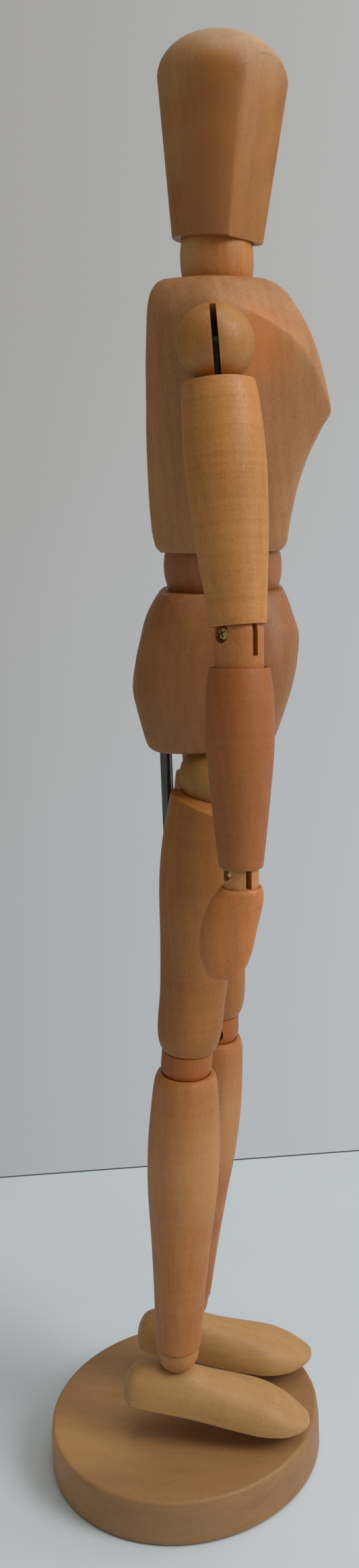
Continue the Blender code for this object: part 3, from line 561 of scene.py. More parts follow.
def pan_head_screw(name, head_radius, seat, place):
    """A pan-head screw along Z with a cross recess in its head."""
    crown = seat + head_radius * 0.62
    tip = 0.6 - seat
    head = [(0, crown), (head_radius * 0.5, crown - 0.07), (head_radius * 0.85, crown - 0.36)]
    head = curve_through(head + [(head_radius, crown - 0.8)], 5)
    stem = [(head_radius, seat + 0.1), (head_radius - 0.1, seat), (1.0, seat), (1.0, tip + 0.3)]
    screw = stood(name, lathe(head + stem + [(0.7, tip), (0, tip)], 48), place)
    bar = head_radius * 0.62
    low, high = (-bar, -0.19, crown - 0.75), (bar, 0.19, crown + 1)
    return carved(screw, *(box_tool(low, high, place, turn) for turn in (0.4, 0.4 + math.pi / 2)))


def screw_brass():
    """Brass, turned bright and gone a little dull, with fine turning lines."""
    material, tree, shader, where = blank_finish("screw_brass")
    tarnish = noise(tree, where, 900.0, 5.0)
    lines = noise(tree, where, 5200.0, 3.0)
    colour = ramp(tree, tarnish, [(0.35, (0.36, 0.23, 0.08)), (0.62, (0.66, 0.47, 0.19))])
    surfaced(tree, shader, colour, ranged(tree, tarnish, 0.3, 0.7, 0.42, 0.24), lines, 0.15, 0.00003)
    shader.inputs["Metallic"].default_value = 1.0
    return material


brass = screw_brass()
knee_outline = rounded([(0, 10.0), (4.5, 10.0), (4.5, 4.1), (KNEE_RADIUS, 4.1), (KNEE_RADIUS, 0)], 0.3)
knee_outline = knee_outline[:-1] + cup(KNEE_RADIUS, 0, 0, -90, 22)[:-1] + [(0, -KNEE_RADIUS)]
for side, out in SIDES.items():
    inward = -out
    knee_at = joint_at("knee_bend_" + side)
    knee_place = shifted(thigh_places[side], knee_at)
    knee = stood("knee_bullet_" + side + "_turned", lathe(knee_outline, 96), knee_place)
    kerf = box_tool((-KERF / 2, -CLEAR, -CLEAR), (KERF / 2, CLEAR, KNEE_KERF_TOP), knee_place)
    through = rod_tool(PIN_HOLE, (-inward * KNEE_SEAT, 0, 0), (inward * CLEAR, 0, 0), knee_place)
    sunk = rod_tool(KNEE_SUNK, (inward * (KNEE_SEAT - 0.2), 0, 0), (inward * CLEAR, 0, 0), knee_place)
    knee_beech = side_beech("knee_beech", side, (0.380, 0.099, 0.009), 31, lathe_marks=0.2)
    carved(knee, kerf, through, sunk)
    fitted(knee, knee_beech, "joint_wood", "thigh_" + side, "knee_bullet_" + side)
    screw_place = knee_place @ Matrix.Rotation(inward * math.pi / 2, 4, "Y")
    screw = pan_head_screw("knee_screw_" + side + "_brass", KNEE_SCREW, KNEE_SEAT, screw_place)
    fitted(screw, brass, "brass", "thigh_" + side, "knee_screw_" + side)

# Shanks.
# Turned beech calves, cupped above for the knee and bored below for the ankle's peg. A flat steel tongue
# is driven into the upper end and hangs on the knee's screw.
SHANK_SWELL = [
    (7.7, -2.8), (8.0, -3.1), (8.8, -5.6), (9.5, -13), (10.15, -25), (9.9, -39), (8.5, -56), (7.3, -74),
    (6.7, -87), (6.5, -89.0), (6.2, -89.5),
]
ankle_socket = rounded([(6.2, -89.5), (3.5, -89.5), (3.5, -82.4), (0, -82.4)], 0.25)[1:]
# A redder soft spot is painted on the front of each calf.
CALF_PATCH = [((-8.0, -5.0, -30.0), 24.0, (0.56, 0.26, 0.085))]
shank_outline = cup(KNEE_RADIUS + CUP_GAP, 0, -90, -22.4, 22) + curve_through(SHANK_SWELL) + ankle_socket
shank_places = {}
for side in SIDES:
    knee_at = joint_at("knee_bend_" + side)
    ankle_at = joint_at("ankle_bend_" + side)
    shank_place = standing(knee_at, knee_at - ankle_at, (1, 0, 0))
    shank_places[side] = shank_place
    shank = stood("shank_" + side + "_turned", lathe(shank_outline), shank_place)
    carved(shank, box_tool((-MORTISE_HALF, -2.8, -17.4), (MORTISE_HALF, 2.8, 0), shank_place))
    shank_beech = side_beech(
        "shank_beech", side, (0.450, 0.163, 0.038), 41, lathe_marks=0.25, patches=CALF_PATCH
    )
    fitted(shank, shank_beech, "pale_wood", "shank_" + side, "shank_" + side)

# Ankle balls.
# Turned beech pegs with a round lower end, pushed up into the shanks, where they can be turned.
# The foot's cup pivots on the round end.
ANKLE_RADIUS = 6.1
ankle_outline = rounded([(0, 9.0), (3.2, 9.0), (3.2, 2.0), (ANKLE_RADIUS, 2.0), (ANKLE_RADIUS, 0)], 0.3)
ankle_outline = ankle_outline[:-1] + cup(ANKLE_RADIUS, 0, 0, -90, 22)[:-1] + [(0, -ANKLE_RADIUS)]
for side in SIDES:
    ankle_at = joint_at("ankle_bend_" + side)
    ankle_place = shifted(shank_places[side], ankle_at)
    ankle = stood("ankle_ball_" + side + "_turned", lathe(ankle_outline, 96), ankle_place)
    ankle_beech = side_beech("ankle_beech", side, (0.475, 0.203, 0.056), 51, lathe_marks=0.2)
    fitted(ankle, ankle_beech, "pale_wood", "ankle_" + side, "ankle_ball_" + side)

# Feet.
# Beech clubs carved with a flat sole, a round heel and a low toe that narrows and turns out, sanded soft.
# A cup in the top sits on the ankle ball, and the toe points down on a raised figure.
FOOT_PITCH = 12.9
FOOT_SQUARENESS = 2.3
SOLE_EDGE = 0.6
TOE_OUT = 1.8
TOE_BEND_START = 8
TOE_BEND_RUN = 27
# Each row is (distance forward, half width, sole, top).
FOOT_ROWS = [
    (-13.4, 1.6, -14.2, -11.6), (-13.1, 2.9, -15.5, -10.0), (-12.4, 4.2, -16.4, -8.3),
    (-11.2, 5.3, -16.9, -6.9), (-8, 6.1, -17.2, -5.6), (-3, 6.5, -17.2, -4.8), (4, 7.1, -17.2, -4.9),
    (11, 8.0, -17.2, -6.0), (19, 9.2, -17.2, -6.9), (27, 9.8, -17.2, -7.8), (34, 8.7, -16.9, -9.7),
    (39, 6.3, -16.1, -12.1), (41.4, 4.0, -15.4, -13.3), (42.2, 2.5, -14.9, -13.7),
    (42.4, 1.5, -14.5, -13.9),
]


def foot_ring(forward, half, sole, top, outward):
    """A section across the foot: a flat sole, eased at its edges, under a rounded back."""
    turned_out = outward * TOE_OUT * max(0, (forward - TOE_BEND_START) / TOE_BEND_RUN) ** 2
    edge = min(SOLE_EDGE, 0.3 * half)
    ring = []
    for k in range(9):
        ring.append((turned_out + (half - edge) * (k - 4) / 4, -forward, sole))
    for x, rise, _ in oval(half, top - sole - edge, 0, 0, FOOT_SQUARENESS, 96)[:49]:
        ring.append((turned_out + x, -forward, sole + edge + rise))
    return ring


foot_steps = [*np.linspace(-13.4, -11.6, 9), *np.linspace(-10.8, 40.6, 60), *np.linspace(41.0, 42.4, 9)]
for side, out in SIDES.items():
    ankle_at = joint_at("ankle_bend_" + side)
    foot_place = Matrix.Translation(ankle_at) @ Matrix.Rotation(math.radians(FOOT_PITCH), 4, "X")
    foot_rings = [foot_ring(*row, out) for row in eased_rows(FOOT_ROWS, foot_steps)]
    foot = stood("foot_" + side + "_carved", skinned(foot_rings), foot_place)
    carved(foot, ball_tool(ANKLE_RADIUS + CUP_GAP, (0, 0, 0), foot_place))
    foot_beech = side_beech("foot_beech", side, (0.489, 0.259, 0.085), 61, along=(90, 0), figure=0.7)
    fitted(foot, foot_beech, "pale_wood", "foot_" + side, "foot_" + side + "_block")

# Waist ball.
# A large turned beech ball between pelvis and chest. A spring inside the chest hooks on its cross pin,
# and its flared top leaves room for the spring to lean.
BALL_PIN_HOLE = 1.3
waist_place = Matrix.Translation(waist_at)
waist_ball = turned_ball("waist_ball_turned", WAIST_RADIUS, waist_place)
waist_flare = stood("flare", lathe([(0, 17), (11.2, 17), (1.6, -1.6), (0, -1.6)], 64), waist_place)
waist_hole = cross_hole(BALL_PIN_HOLE, 13.6, 0, waist_place)
waist_beech = beech("waist_beech", (0.349, 0.118, 0.031), 71, lathe_marks=0.2)
fitted(carved(waist_ball, waist_flare, waist_hole), waist_beech, "joint_wood", "waist_joint", "waist_ball")

# Chest.
# A carved beech block with a straight back, sawn flat flanks and two bust points. On each side an arc-shaped
# edge runs from above the shoulder to the bust point, where the flank meets the rounded front.
NECK_RADIUS = 9.9
SHOULDER_RADIUS = 9.2
FLANK_SLOPE = 0.28
FLANK_START = 1.5
BUST_HEIGHT = 38.9
SOFT_EASE = 0.42
BLOCK_PIN_HOLE = 1.2
# Each row is (height above the waist's centre, half width, back, flank's front end, bust's side and front,
# front at the middle).
CHEST_ROWS = [
    (4.4, 16.6, 16.1, -10.9, 8.0, -15.4, -15.9), (6.1, 17.4, 17.3, -11.7, 8.4, -16.7, -17.0),
    (11.5, 18.1, 18.1, -13.7, 8.8, -17.8, -17.8), (20.5, 19.2, 18.4, -17.1, 9.6, -20.1, -19.5),
    (27.5, 20.0, 18.4, -20.7, 10.6, -22.7, -21.1), (34.5, 20.8, 18.3, -25.1, 11.9, -26.1, -22.9),
    (38.9, 21.3, 18.1, -27.8, 12.4, -28.4, -24.1), (44.5, 22.1, 17.9, -26.1, 12.0, -27.7, -24.6),
    (50.5, 22.7, 17.7, -23.2, 11.4, -26.5, -24.5), (56.5, 23.2, 17.3, -18.7, 10.8, -24.7, -23.4),
    (60.9, 23.2, 17.0, -11.9, 10.5, -22.7, -21.8), (64.1, 22.2, 16.7, -5.1, 10.2, -20.7, -20.1),
    (67.3, 19.8, 16.0, -3.9, 9.6, -18.4, -18.0), (69.9, 16.6, 14.5, -3.3, 8.6, -15.3, -15.1),
    (70.8, 14.8, 13.2, -2.9, 8.0, -13.1, -12.9),
]


def chest_ring(height, half, back, crease, bust_side, bust, middle):
    """One half of a chest section as eased corners, mirrored into a ring."""
    flank_end = half - FLANK_SLOPE * (FLANK_START - crease)
    corners = [(0, back), (half * 0.62, back), (half, FLANK_START), (flank_end, crease), (bust_side, bust)]
    corners = [Vector(corner) for corner in corners + [(0, middle)]]
    eased = [corners[0]]
    crease_ease = 0.14 + 0.22 * min(max((BUST_HEIGHT - height) / 12, 0), 1)
    shares = (SOFT_EASE, SOFT_EASE, crease_ease, SOFT_EASE)
    for before, corner, after, share in zip(corners, corners[1:], corners[2:], shares):
        start, end = corner.lerp(before, share), corner.lerp(after, share)
        for step in range(13):
            t = step / 12
            eased.append(start.lerp(corner, t).lerp(corner.lerp(end, t), t))
    eased.append(corners[-1])
    mirrored = [Vector((-point.x, point.y)) for point in reversed(eased[1:-1])]
    return [(point.x, point.y, height) for point in eased + mirrored]


chest_heights = [*np.linspace(4.4, 6.1, 7), *np.linspace(6.8, 69.2, 84), *np.linspace(69.9, 70.8, 5)]
chest_rings = [chest_ring(*row) for row in eased_rows(CHEST_ROWS, chest_heights)]
chest = stood("chest", skinned(chest_rings), waist_place)
neck_from_waist = (joint_at("head_nod") - waist_at) / MM
chest_tools = [
    ball_tool(WAIST_RADIUS + CUP_GAP, (0, 0, 0), waist_place),
    rod_tool(SPRING_BORE, (0, 0, 2), (0, 0, 36), waist_place),
    cross_hole(BLOCK_PIN_HOLE, 12.3, 34.3, waist_place),
    ball_tool(NECK_RADIUS + CUP_GAP, neck_from_waist, waist_place),
]
for side in SIDES:
    shoulder_from_waist = (joint_at("shoulder_raise_" + side) - waist_at) / MM
    chest_tools.append(ball_tool(SHOULDER_RADIUS + CUP_GAP, shoulder_from_waist, waist_place))
far_shoulder = Vector((-shoulder_from_waist.x, shoulder_from_waist.y, shoulder_from_waist.z))
chest_tools.append(rod_tool(SPRING_BORE, far_shoulder, shoulder_from_waist, waist_place))
# Orange spots painted on both flanks below the shoulders are painted reflected light.
FLANK_REFLECTED_LIGHT = [((side * 20.0, -10.0, 54.0), 15.0, (0.66, 0.20, 0.028)) for side in (-1, 1)]
chest_beech = beech("chest_beech", (0.419, 0.183, 0.062), 81, rough=0.54, patches=FLANK_REFLECTED_LIGHT)
fitted(carved(chest, *chest_tools), chest_beech, "torso_wood", "chest", "chest_block")

# Shoulder balls.
# Turned beech balls, drawn against the chest by a spring across it. A saw kerf in the plane in which the arm
# is raised takes the arm's steel tongue.
arm_hinges = {}
for side, out in SIDES.items():
    shoulder_at = joint_at("shoulder_raise_" + side)
    hinge = Vector(joints["shoulder_raise_" + side]["axis"]) * -out
    shoulder_place = standing(shoulder_at, Vector((1, 0, 0)).cross(hinge), (1, 0, 0))
    arm_hinges[side] = hinge
    ball = turned_ball("shoulder_ball_" + side + "_turned", SHOULDER_RADIUS, shoulder_place)
    inner = -out * SHOULDER_RADIUS * 0.42
    outer = out * 2 * SHOULDER_RADIUS
    run_out = [(inner, -CLEAR), (outer, -CLEAR), (outer, CLEAR), (out * 5.5, CLEAR)]
    run_out += [(out * 3.4, 8.4), (out * 1.2, 6.2), (inner, 4.6)]
    kerf = bmesh.new()
    sheet = kerf.faces.new([kerf.verts.new((x, -KERF / 2, z)) for x, z in run_out])
    lifted = bmesh.ops.extrude_face_region(kerf, geom=[sheet])["geom"]
    far_corners = [item for item in lifted if isinstance(item, bmesh.types.BMVert)]
    bmesh.ops.translate(kerf, vec=(0, KERF, 0), verts=far_corners)
    tail_hole = rod_tool(1.1, (-out * 3.5, 0, 0), (-out * CLEAR, 0, 0), shoulder_place)
    pin_hole = rod_tool(PIN_HOLE, (0, -CLEAR, 0), (0, CLEAR, 0), shoulder_place)
    shoulder_beech = side_beech("shoulder_beech", side, (0.415, 0.167, 0.031), 91, lathe_marks=0.15)
    carved(ball, stood("kerf", kerf, shoulder_place), pin_hole, tail_hole)
    fitted(ball, shoulder_beech, "joint_wood", "shoulder_" + side, "shoulder_ball_" + side)

# Upper arms.
# Turned beech, fullest a third of the way down, with faint tool rings. The top is cupped under the shoulder
# ball and bored for its tongue, and the lower end is cupped round the elbow's bullet.
ELBOW_RADIUS = 5.9
UPPER_ARM_LENGTH = 67.1
TONGUE_TURN = 40
UPPER_ARM_SWELL = [
    (7.9, -8.9), (8.35, -9.1), (8.7, -9.6), (9.35, -15), (9.75, -29), (8.8, -45), (7.7, -56),
    (6.95, -64.4), (6.7, -65.5),
]
upper_arm_outline = rounded([(0, -20), (2.75, -20), (2.75, -8.9)], 0.2)
upper_arm_outline += cup(SHOULDER_RADIUS + CUP_GAP, 0, -73.0, -70.4, 4) + curve_through(UPPER_ARM_SWELL)
upper_arm_outline += [(6.56, -65.5)] + cup(ELBOW_RADIUS + CUP_GAP, -UPPER_ARM_LENGTH, 31, 90, 18)
for side, out in SIDES.items():
    shoulder_at = joint_at("shoulder_raise_" + side)
    elbow_at = joint_at("elbow_bend_" + side)
    along = shoulder_at - elbow_at
    arm_place = standing(shoulder_at, along, arm_hinges[side].cross(along))
    upper_arm = stood("upper_arm_" + side + "_turned", lathe(upper_arm_outline), arm_place)
    elbow_place = shifted(arm_place, elbow_at)
    mortise_turn = math.radians(-out * TONGUE_TURN)
    mortise = box_tool((-2.6, -MORTISE_HALF, -1), (2.6, MORTISE_HALF, 12.4), elbow_place, mortise_turn)
    carved(upper_arm, mortise)
    upper_arm_beech = side_beech("upper_arm_beech", side, (0.522, 0.206, 0.045), 101, lathe_marks=0.5)
    fitted(upper_arm, upper_arm_beech, "pale_wood", "upper_arm_" + side, "upper_arm_" + side)

# Elbow bullets.
# Turned beech pegs with a round top, set in the forearms. A saw kerf straddles the upper arm's steel tongue,
# and a brass screw in a sunk hole is the hinge.


def slotted_bullet(name, radius, skirt, seat, sunk_radius, place):
    """A bullet whose kerf is square to its frame's Y, with the screw's hole sunk from +Y."""
    outline = [(0, radius)] + cup(radius, 0, 86, 0, 22)
    outline += rounded([(radius, 0), (radius, -skirt), (0, -skirt)], 0.5)[1:]
    made = stood(name, lathe(outline, 96), place)
    kerf = box_tool((-2 * radius, -KERF / 2, -radius * 0.9), (2 * radius, KERF / 2, 2 * radius), place)
    through = rod_tool(PIN_HOLE, (0, -seat, 0), (0, 2 * radius, 0), place)
    sunk = rod_tool(sunk_radius, (0, seat - 0.2, 0), (0, 2 * radius, 0), place)
    return carved(made, kerf, through, sunk)


ELBOW_SCREW = 1.95
ELBOW_SEAT = 4.2
ELBOW_SUNK = 2.4
ELBOW_SKIRT = 12.8
forearm_frames = {}
for side, out in SIDES.items():
    elbow_at = joint_at("elbow_bend_" + side)
    wrist_at = joint_at("wrist_bend_" + side)
    screw_way = Vector(joints["elbow_bend_" + side]["axis"]) * -out
    elbow_place = standing(elbow_at, elbow_at - wrist_at, screw_way.cross(elbow_at - wrist_at))
    forearm_frames[side] = elbow_place
    elbow_name = "elbow_bullet_" + side + "_turned"
    elbow = slotted_bullet(elbow_name, ELBOW_RADIUS, ELBOW_SKIRT, ELBOW_SEAT, ELBOW_SUNK, elbow_place)
    elbow_beech = side_beech("elbow_beech", side, (0.472, 0.165, 0.035), 111, lathe_marks=0.2)
    fitted(elbow, elbow_beech, "joint_wood", "forearm_" + side, "elbow_bullet_" + side)
    screw_place = elbow_place @ Matrix.Rotation(-math.pi / 2, 4, "X")
    screw = pan_head_screw("elbow_screw_" + side + "_brass", ELBOW_SCREW, ELBOW_SEAT, screw_place)
    fitted(screw, brass, "brass", "forearm_" + side, "elbow_screw_" + side)

# Forearms.
# Turned beech of a redder plank, tapering to the wrist. The top is bored for the elbow's bullet and the
# lower end is cupped round the wrist's.
WRIST_RADIUS = 4.3
FOREARM_LENGTH = 58.0
FOREARM_SWELL = [
    (6.8, -8.3), (7.1, -8.45), (7.4, -9.0), (8.2, -16), (8.3, -27), (7.4, -38), (6.4, -48), (5.5, -56.0),
    (5.2, -57.0),
]
forearm_outline = [(0, -13.2), (5.2, -13.2), (6.15, -13.2), (6.15, -8.8)] + curve_through(FOREARM_SWELL)
forearm_outline += cup(WRIST_RADIUS + CUP_GAP, -FOREARM_LENGTH, 12.7, 90, 16)
wrist_frames = {}
for side, out in SIDES.items():
    elbow_place = forearm_frames[side]
    forearm = stood("forearm_" + side + "_turned", lathe(forearm_outline), elbow_place)
    wrist_at = joint_at("wrist_bend_" + side)
    wrist_way = Vector(joints["wrist_bend_" + side]["axis"]) * -out
    along = elbow_place.to_translation() - wrist_at
    wrist_place = standing(wrist_at, along, wrist_way.cross(along))
    wrist_frames[side] = wrist_place
    carved(forearm, box_tool((-2.1, -MORTISE_HALF, -1), (2.1, MORTISE_HALF, 10.4), wrist_place))
    forearm_beech = side_beech("forearm_beech", side, (0.362, 0.106, 0.019), 121, lathe_marks=0.25)
    fitted(forearm, forearm_beech, "pale_wood", "forearm_" + side, "forearm_" + side)

# Wrist bullets.
# Small turned pegs in the hands, made like those of the elbows, each with its own kerf and brass screw.
# The forearm's steel tongue runs into the kerf.
WRIST_SCREW = 1.6
WRIST_SEAT = 2.9
WRIST_SUNK = 2.05
WRIST_SKIRT = 6.8
for side, wrist_place in wrist_frames.items():
    wrist_name = "wrist_bullet_" + side + "_turned"
    wrist = slotted_bullet(wrist_name, WRIST_RADIUS, WRIST_SKIRT, WRIST_SEAT, WRIST_SUNK, wrist_place)
    wrist_beech = side_beech("wrist_beech", side, (0.546, 0.232, 0.074), 131, lathe_marks=0.15)
    fitted(wrist, wrist_beech, "joint_wood", "hand_" + side, "wrist_bullet_" + side)
    screw_place = wrist_place @ Matrix.Rotation(-math.pi / 2, 4, "X")
    screw = pan_head_screw("wrist_screw_" + side + "_brass", WRIST_SCREW, WRIST_SEAT, screw_place)
    fitted(screw, brass, "brass", "hand_" + side, "wrist_screw_" + side)

# Hands.
# Mittens carved from beech with the grain running to the finger ends, rounded and sanded.
# The top is bored for the wrist's bullet.
HAND_SQUARENESS = 2.3
# Each row is (height from the wrist, half thickness, half depth, shift of the middle).
HAND_ROWS = [
    (-4.0, 4.7, 5.0, 0.0), (-4.9, 5.2, 5.5, -0.2), (-8, 5.3, 6.6, -1.3), (-12, 4.9, 7.0, -2.6),
    (-16.5, 4.3, 6.9, -3.5), (-21, 3.6, 6.3, -4.0), (-25, 2.6, 4.9, -4.3), (-26.8, 1.8, 3.5, -4.4),
    (-27.4, 0.9, 1.7, -4.4),
]
hand_heights = [*np.linspace(-27.4, -25, 12), *np.linspace(-24.5, -4.9, 38), *np.linspace(-4.7, -4, 5)]
for side in SIDES:
    wrist_at = wrist_frames[side].to_translation()
    along = forearm_frames[side].to_translation() - wrist_at
    hand_place = standing(wrist_at, along, arm_hinges[side].cross(along))
    hand_rings = [
        oval(thick, deep, -shift, height, HAND_SQUARENESS, 72)
        for height, thick, deep, shift in eased_rows(HAND_ROWS, hand_heights)
    ]
    hand = stood("hand_" + side + "_carved", skinned(hand_rings), hand_place)
    carved(hand, rod_tool(WRIST_RADIUS + 0.2, (0, 0, -7.1), (0, 0, 4), hand_place))
    hand_beech = side_beech("hand_beech", side, (0.522, 0.169, 0.034), 141)
    fitted(hand, hand_beech, "pale_wood", "hand_" + side, "hand_" + side)

# Neck.
# A short turned barrel of beech with round ends, sitting in the chest's upper cup. Its top is flared for the
# spring inside the head, which hooks on its cross pin.
NECK_WAIST = 9.25
NECK_END = 4.4
neck_at = joint_at("head_nod")
neck_place = Matrix.Translation(neck_at)
end_angle = math.degrees(math.asin(NECK_END / NECK_RADIUS))
neck_upper = [(0, NECK_RADIUS)] + cup(NECK_RADIUS, 0, 86, end_angle, 16)
neck_middle = [neck_upper[-1], (NECK_WAIST, 1.5), (NECK_WAIST, -1.5), (neck_upper[-1][0], -NECK_END)]
neck_middle = rounded(neck_middle, 1.2)[1:-1]
neck_lower = [(radius, -height) for radius, height in reversed(neck_upper)]
neck = stood("neck_barrel_turned", lathe(neck_upper + neck_middle + neck_lower), neck_place)
neck_flare = stood("flare", lathe([(0, 11.1), (7.0, 11.1), (1.6, -1.6), (0, -1.6)], 48), neck_place)
neck_hole = cross_hole(BALL_PIN_HOLE, 8.2, 0, neck_place)
# A pale spot painted on the back of the neck is painted light.
NECK_LIT_SPOT = [((-5.0, 8.0, 0.0), 10.0, (0.62, 0.36, 0.13))]
neck_beech = beech("neck_beech", (0.498, 0.181, 0.033), 151, lathe_marks=0.2, patches=NECK_LIT_SPOT)
fitted(carved(neck, neck_flare, neck_hole), neck_beech, "head_wood", "neck_joint", "neck_barrel")

# Head.
# A turned beech cone, wider at the brow, with a domed crown. Two flat cuts leave a narrow rounded ridge down
# a blank face, and a cup below sits on the neck's round end.
CHIN_RADIUS = 11.4
BROW_RADIUS = 16.0
CHIN = 4.4
BROW = 41.0
CROWN_HEIGHT = 11.3
FACE_TURN = math.radians(42)
FACE_AT_BROW = 14.0
FACE_AT_CHIN = 9.35
CUT_SIZE = 90
head_up = Vector(joints["head_turn"]["axis"])
head_place = standing(neck_at, head_up, (1, 0, 0))
crown_angles = np.radians(np.linspace(90, 0, 33))
crown = [(BROW_RADIUS * math.cos(a), BROW + CROWN_HEIGHT * math.sin(a)) for a in crown_angles]
jaw = rounded([(BROW_RADIUS, BROW), (CHIN_RADIUS, CHIN), (9, CHIN), (0, CHIN)], 0.5)
head_outline = [(0, BROW + CROWN_HEIGHT)] + crown[1:] + jaw[1:]
head = stood("head", lathe(head_outline, 144), head_place)
head_tools = []
for out in (-1, 1):
    outward = Vector((out * math.sin(FACE_TURN), -math.cos(FACE_TURN), 0))
    facet = outward - Vector((0, 0, (FACE_AT_BROW - FACE_AT_CHIN) / (BROW - CHIN)))
    plane = bmesh.new()
    bmesh.ops.create_cube(plane, size=CUT_SIZE)
    bmesh.ops.translate(plane, vec=(0, 0, CUT_SIZE / 2), verts=plane.verts)
    aimed(plane, facet.normalized())
    bmesh.ops.translate(plane, vec=outward * FACE_AT_BROW + Vector((0, 0, BROW)), verts=plane.verts)
    head_tools.append(stood("flat_cut", plane, head_place))
head_tools.append(ball_tool(NECK_RADIUS + CUP_GAP, (0, 0, 0), head_place))
head_tools.append(rod_tool(SPRING_BORE, (0, 0, 2), (0, 0, 30), head_place))
head_tools.append(cross_hole(BLOCK_PIN_HOLE, 9.3, 28.3, head_place))
# Painted highlights on the crown and painted light down the back of the head; the loop below adds darker
# spots down both sides.
HEAD_LIT_AND_DARK_SPOTS = [
    ((-5.0, -8.0, 52.0), 18.0, (0.56, 0.39, 0.23)), ((-7.0, 6.0, 53.0), 17.0, (0.50, 0.34, 0.18)),
    ((-7.0, 12.0, 40.0), 13.0, (0.50, 0.25, 0.09)), ((-6.0, 10.5, 24.0), 12.0, (0.47, 0.22, 0.07)),
]
for out in (-1, 1):
    for height in (8, 21, 34):
        HEAD_LIT_AND_DARK_SPOTS.append(((out * (12.5 + 0.12 * height), 2.0, height), 12.0, (0.30, 0.10, 0.020)))
head_beech = beech("head_beech", (0.370, 0.133, 0.022), 161, rough=0.46, patches=HEAD_LIT_AND_DARK_SPOTS)
fitted(carved(head, *head_tools), head_beech, "head_wood", "head", "head_block")

# Tongues, pins and springs.
# Flat steel tongues link the limbs, straight pins hold them in the balls, and tension springs pull the ball
# joints together. They are bare steel with brushed lines, mostly hidden in the kerfs.


def bare_steel():
    """Rolled bare steel, a little oily, with fine scratches and some tarnish, its grey painted dark for the
    shade it sits in within the kerfs.
    """
    material, tree, shader, where = blank_finish("bare_steel_rolled")
    rolled = noise(tree, mapped(tree, where, Scale=(3000, 3000, 160)), 1.0, 6.0)
    tarnish = noise(tree, where, 420.0, 4.0)
    # Both steel colours are painted dark as shade; the noise between them is tarnish.
    colour = ramp(tree, tarnish, [(0.35, (0.05, 0.042, 0.036)), (0.65, (0.13, 0.125, 0.12))])
    surfaced(tree, shader, colour, ranged(tree, rolled, 0.3, 0.7, 0.3, 0.5), rolled, 0.15, 0.00003)
    shader.inputs["Metallic"].default_value = 1.0
    return material


steel = bare_steel()
for name, node in frame["nodes"].items():
    if "tongue" in name or "pin" in name or "spring" in name:
        for slot in node.material_slots:
            slot.material = steel

# Stage.
# A plain pale tabletop that ends a little way behind the figure, two soft lights, one from the figure's
# front and one from above, and a pale room round it.


def plain_paint(name, colour, rough):
    material, tree, shader, where = blank_finish(name)
    darker = tuple(0.97 * part for part in colour)
    cloud = ramp(tree, noise(tree, where, 9.0, 3.0), [(0.35, darker), (0.65, colour)])
    tree.links.new(cloud, shader.inputs["Base Color"])
    shader.inputs["Roughness"].default_value = rough
    return material


def flat_sheet(name, corners, paint):
    mesh = bpy.data.meshes.new(name)
    mesh.from_pydata(corners, [], [(0, 1, 2, 3)])
    mesh.materials.append(paint)
    made = bpy.data.objects.new(name, mesh)
    bpy.context.scene.collection.objects.link(made)
    return made


TABLE_REACH = 4.0
EDGE_WIDTH = 0.0015
EDGE_DROP = 0.0002
FAR_EDGE = [(0.405, -TABLE_REACH, 0), (-0.060, TABLE_REACH, 0)]
table_corners = [(-TABLE_REACH, -TABLE_REACH, 0), *FAR_EDGE, (-TABLE_REACH, TABLE_REACH, 0)]
floor = flat_sheet("table", table_corners, plain_paint("table_white", (0.70, 0.77, 0.81), 0.6))
# A thin dark strip just below the table's far edge is a painted shade line along that edge.
edge_corners = [(x + EDGE_WIDTH, y, -EDGE_DROP) for x, y, _ in FAR_EDGE]
edge_corners = [FAR_EDGE[0], *edge_corners, FAR_EDGE[1]]
table_edge_shade = flat_sheet("table_edge_shade", edge_corners, plain_paint("edge_shade_grey", (0.09, 0.09, 0.09), 0.7))

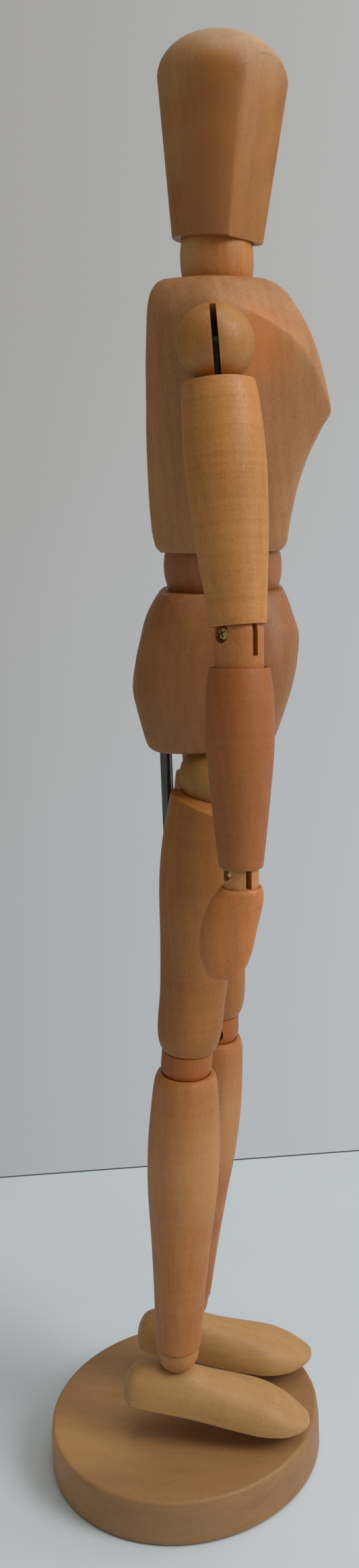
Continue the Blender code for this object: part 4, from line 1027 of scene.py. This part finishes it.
world = bpy.data.worlds.new("pale_room")
world.use_nodes = True
room = world.node_tree
way = add(room, "ShaderNodeTexCoord").outputs["Generated"]
PALE_SIDE = (0.5, -0.85, 0.0)
toward = measured(room, "DOT_PRODUCT", way, PALE_SIDE)
WALL_TONES = [
    (0.0, (0.270, 0.260, 0.215)), (0.25, (0.170, 0.160, 0.130)), (0.4, (0.145, 0.132, 0.110)),
    (0.7, (0.385, 0.385, 0.380)), (1.0, (0.58, 0.60, 0.63)),
]
walls = ramp(room, ranged(room, toward, -1.0, 1.0, 0.0, 1.0), WALL_TONES)
height = add(room, "ShaderNodeSeparateXYZ", Vector=way).outputs["Z"]
low = ranged(room, height, -0.5, 0.1, 0.0, 1.0)
tint = ramp(room, low, [(0.0, (0.88, 0.93, 0.98)), (1.0, (0.80, 0.79, 0.775))])
walls = blend_colour(room, "MULTIPLY", 1.0, walls, tint)
room.links.new(walls, room.nodes["Background"].inputs["Color"])
room.nodes["Background"].inputs["Strength"].default_value = 1.26
bpy.context.scene.world = world


def soft_light(name, place, target, size, watts, colour):
    light = bpy.data.lights.new(name, "AREA")
    light.shape = "DISK"
    light.size = size
    light.energy = watts
    light.color = colour
    lamp = bpy.data.objects.new(name, light)
    bpy.context.scene.collection.objects.link(lamp)
    lamp.location = place
    lamp.rotation_euler = (Vector(target) - Vector(place)).to_track_quat("-Z", "Y").to_euler()


soft_light("window", (-0.55, -1.05, 1.05), (0, -0.02, 0.2), size=0.7, watts=10.4, colour=(0.95, 0.98, 1.0))
soft_light("ceiling", (-0.15, -0.25, 1.5), (0, -0.02, 0.0), size=1.1, watts=5.8, colour=(0.97, 0.99, 1.0))

SENSOR = 36.0
FRAME_HEIGHT = 2327
FOCAL = 2000
SIDE_SHIFT = -179.5
CAMERA_AT = (-0.3609, -0.0194, 0.2963)
HEADING = (0.99853, -0.05419)
camera = bpy.data.cameras.new("camera")
camera.sensor_fit = "AUTO"
camera.sensor_width = SENSOR
camera.lens = SENSOR * FOCAL / FRAME_HEIGHT
camera.shift_x = SIDE_SHIFT / FRAME_HEIGHT
camera.clip_start = 0.01
viewer = bpy.data.objects.new("camera", camera)
bpy.context.scene.collection.objects.link(viewer)
pitch, roll = math.radians(13.494), math.radians(-1.058)
ahead = Vector((math.cos(pitch) * HEADING[0], math.cos(pitch) * HEADING[1], -math.sin(pitch)))
level = Vector((HEADING[1], -HEADING[0], 0)).normalized()
upright = level.cross(ahead)
right = math.cos(roll) * level + math.sin(roll) * upright
above = math.cos(roll) * upright - math.sin(roll) * level
turn = Matrix((right, above, -ahead)).transposed().to_4x4()
viewer.matrix_world = Matrix.Translation(CAMERA_AT) @ turn
bpy.context.scene.camera = viewer
bpy.context.scene.view_settings.view_transform = "Standard"
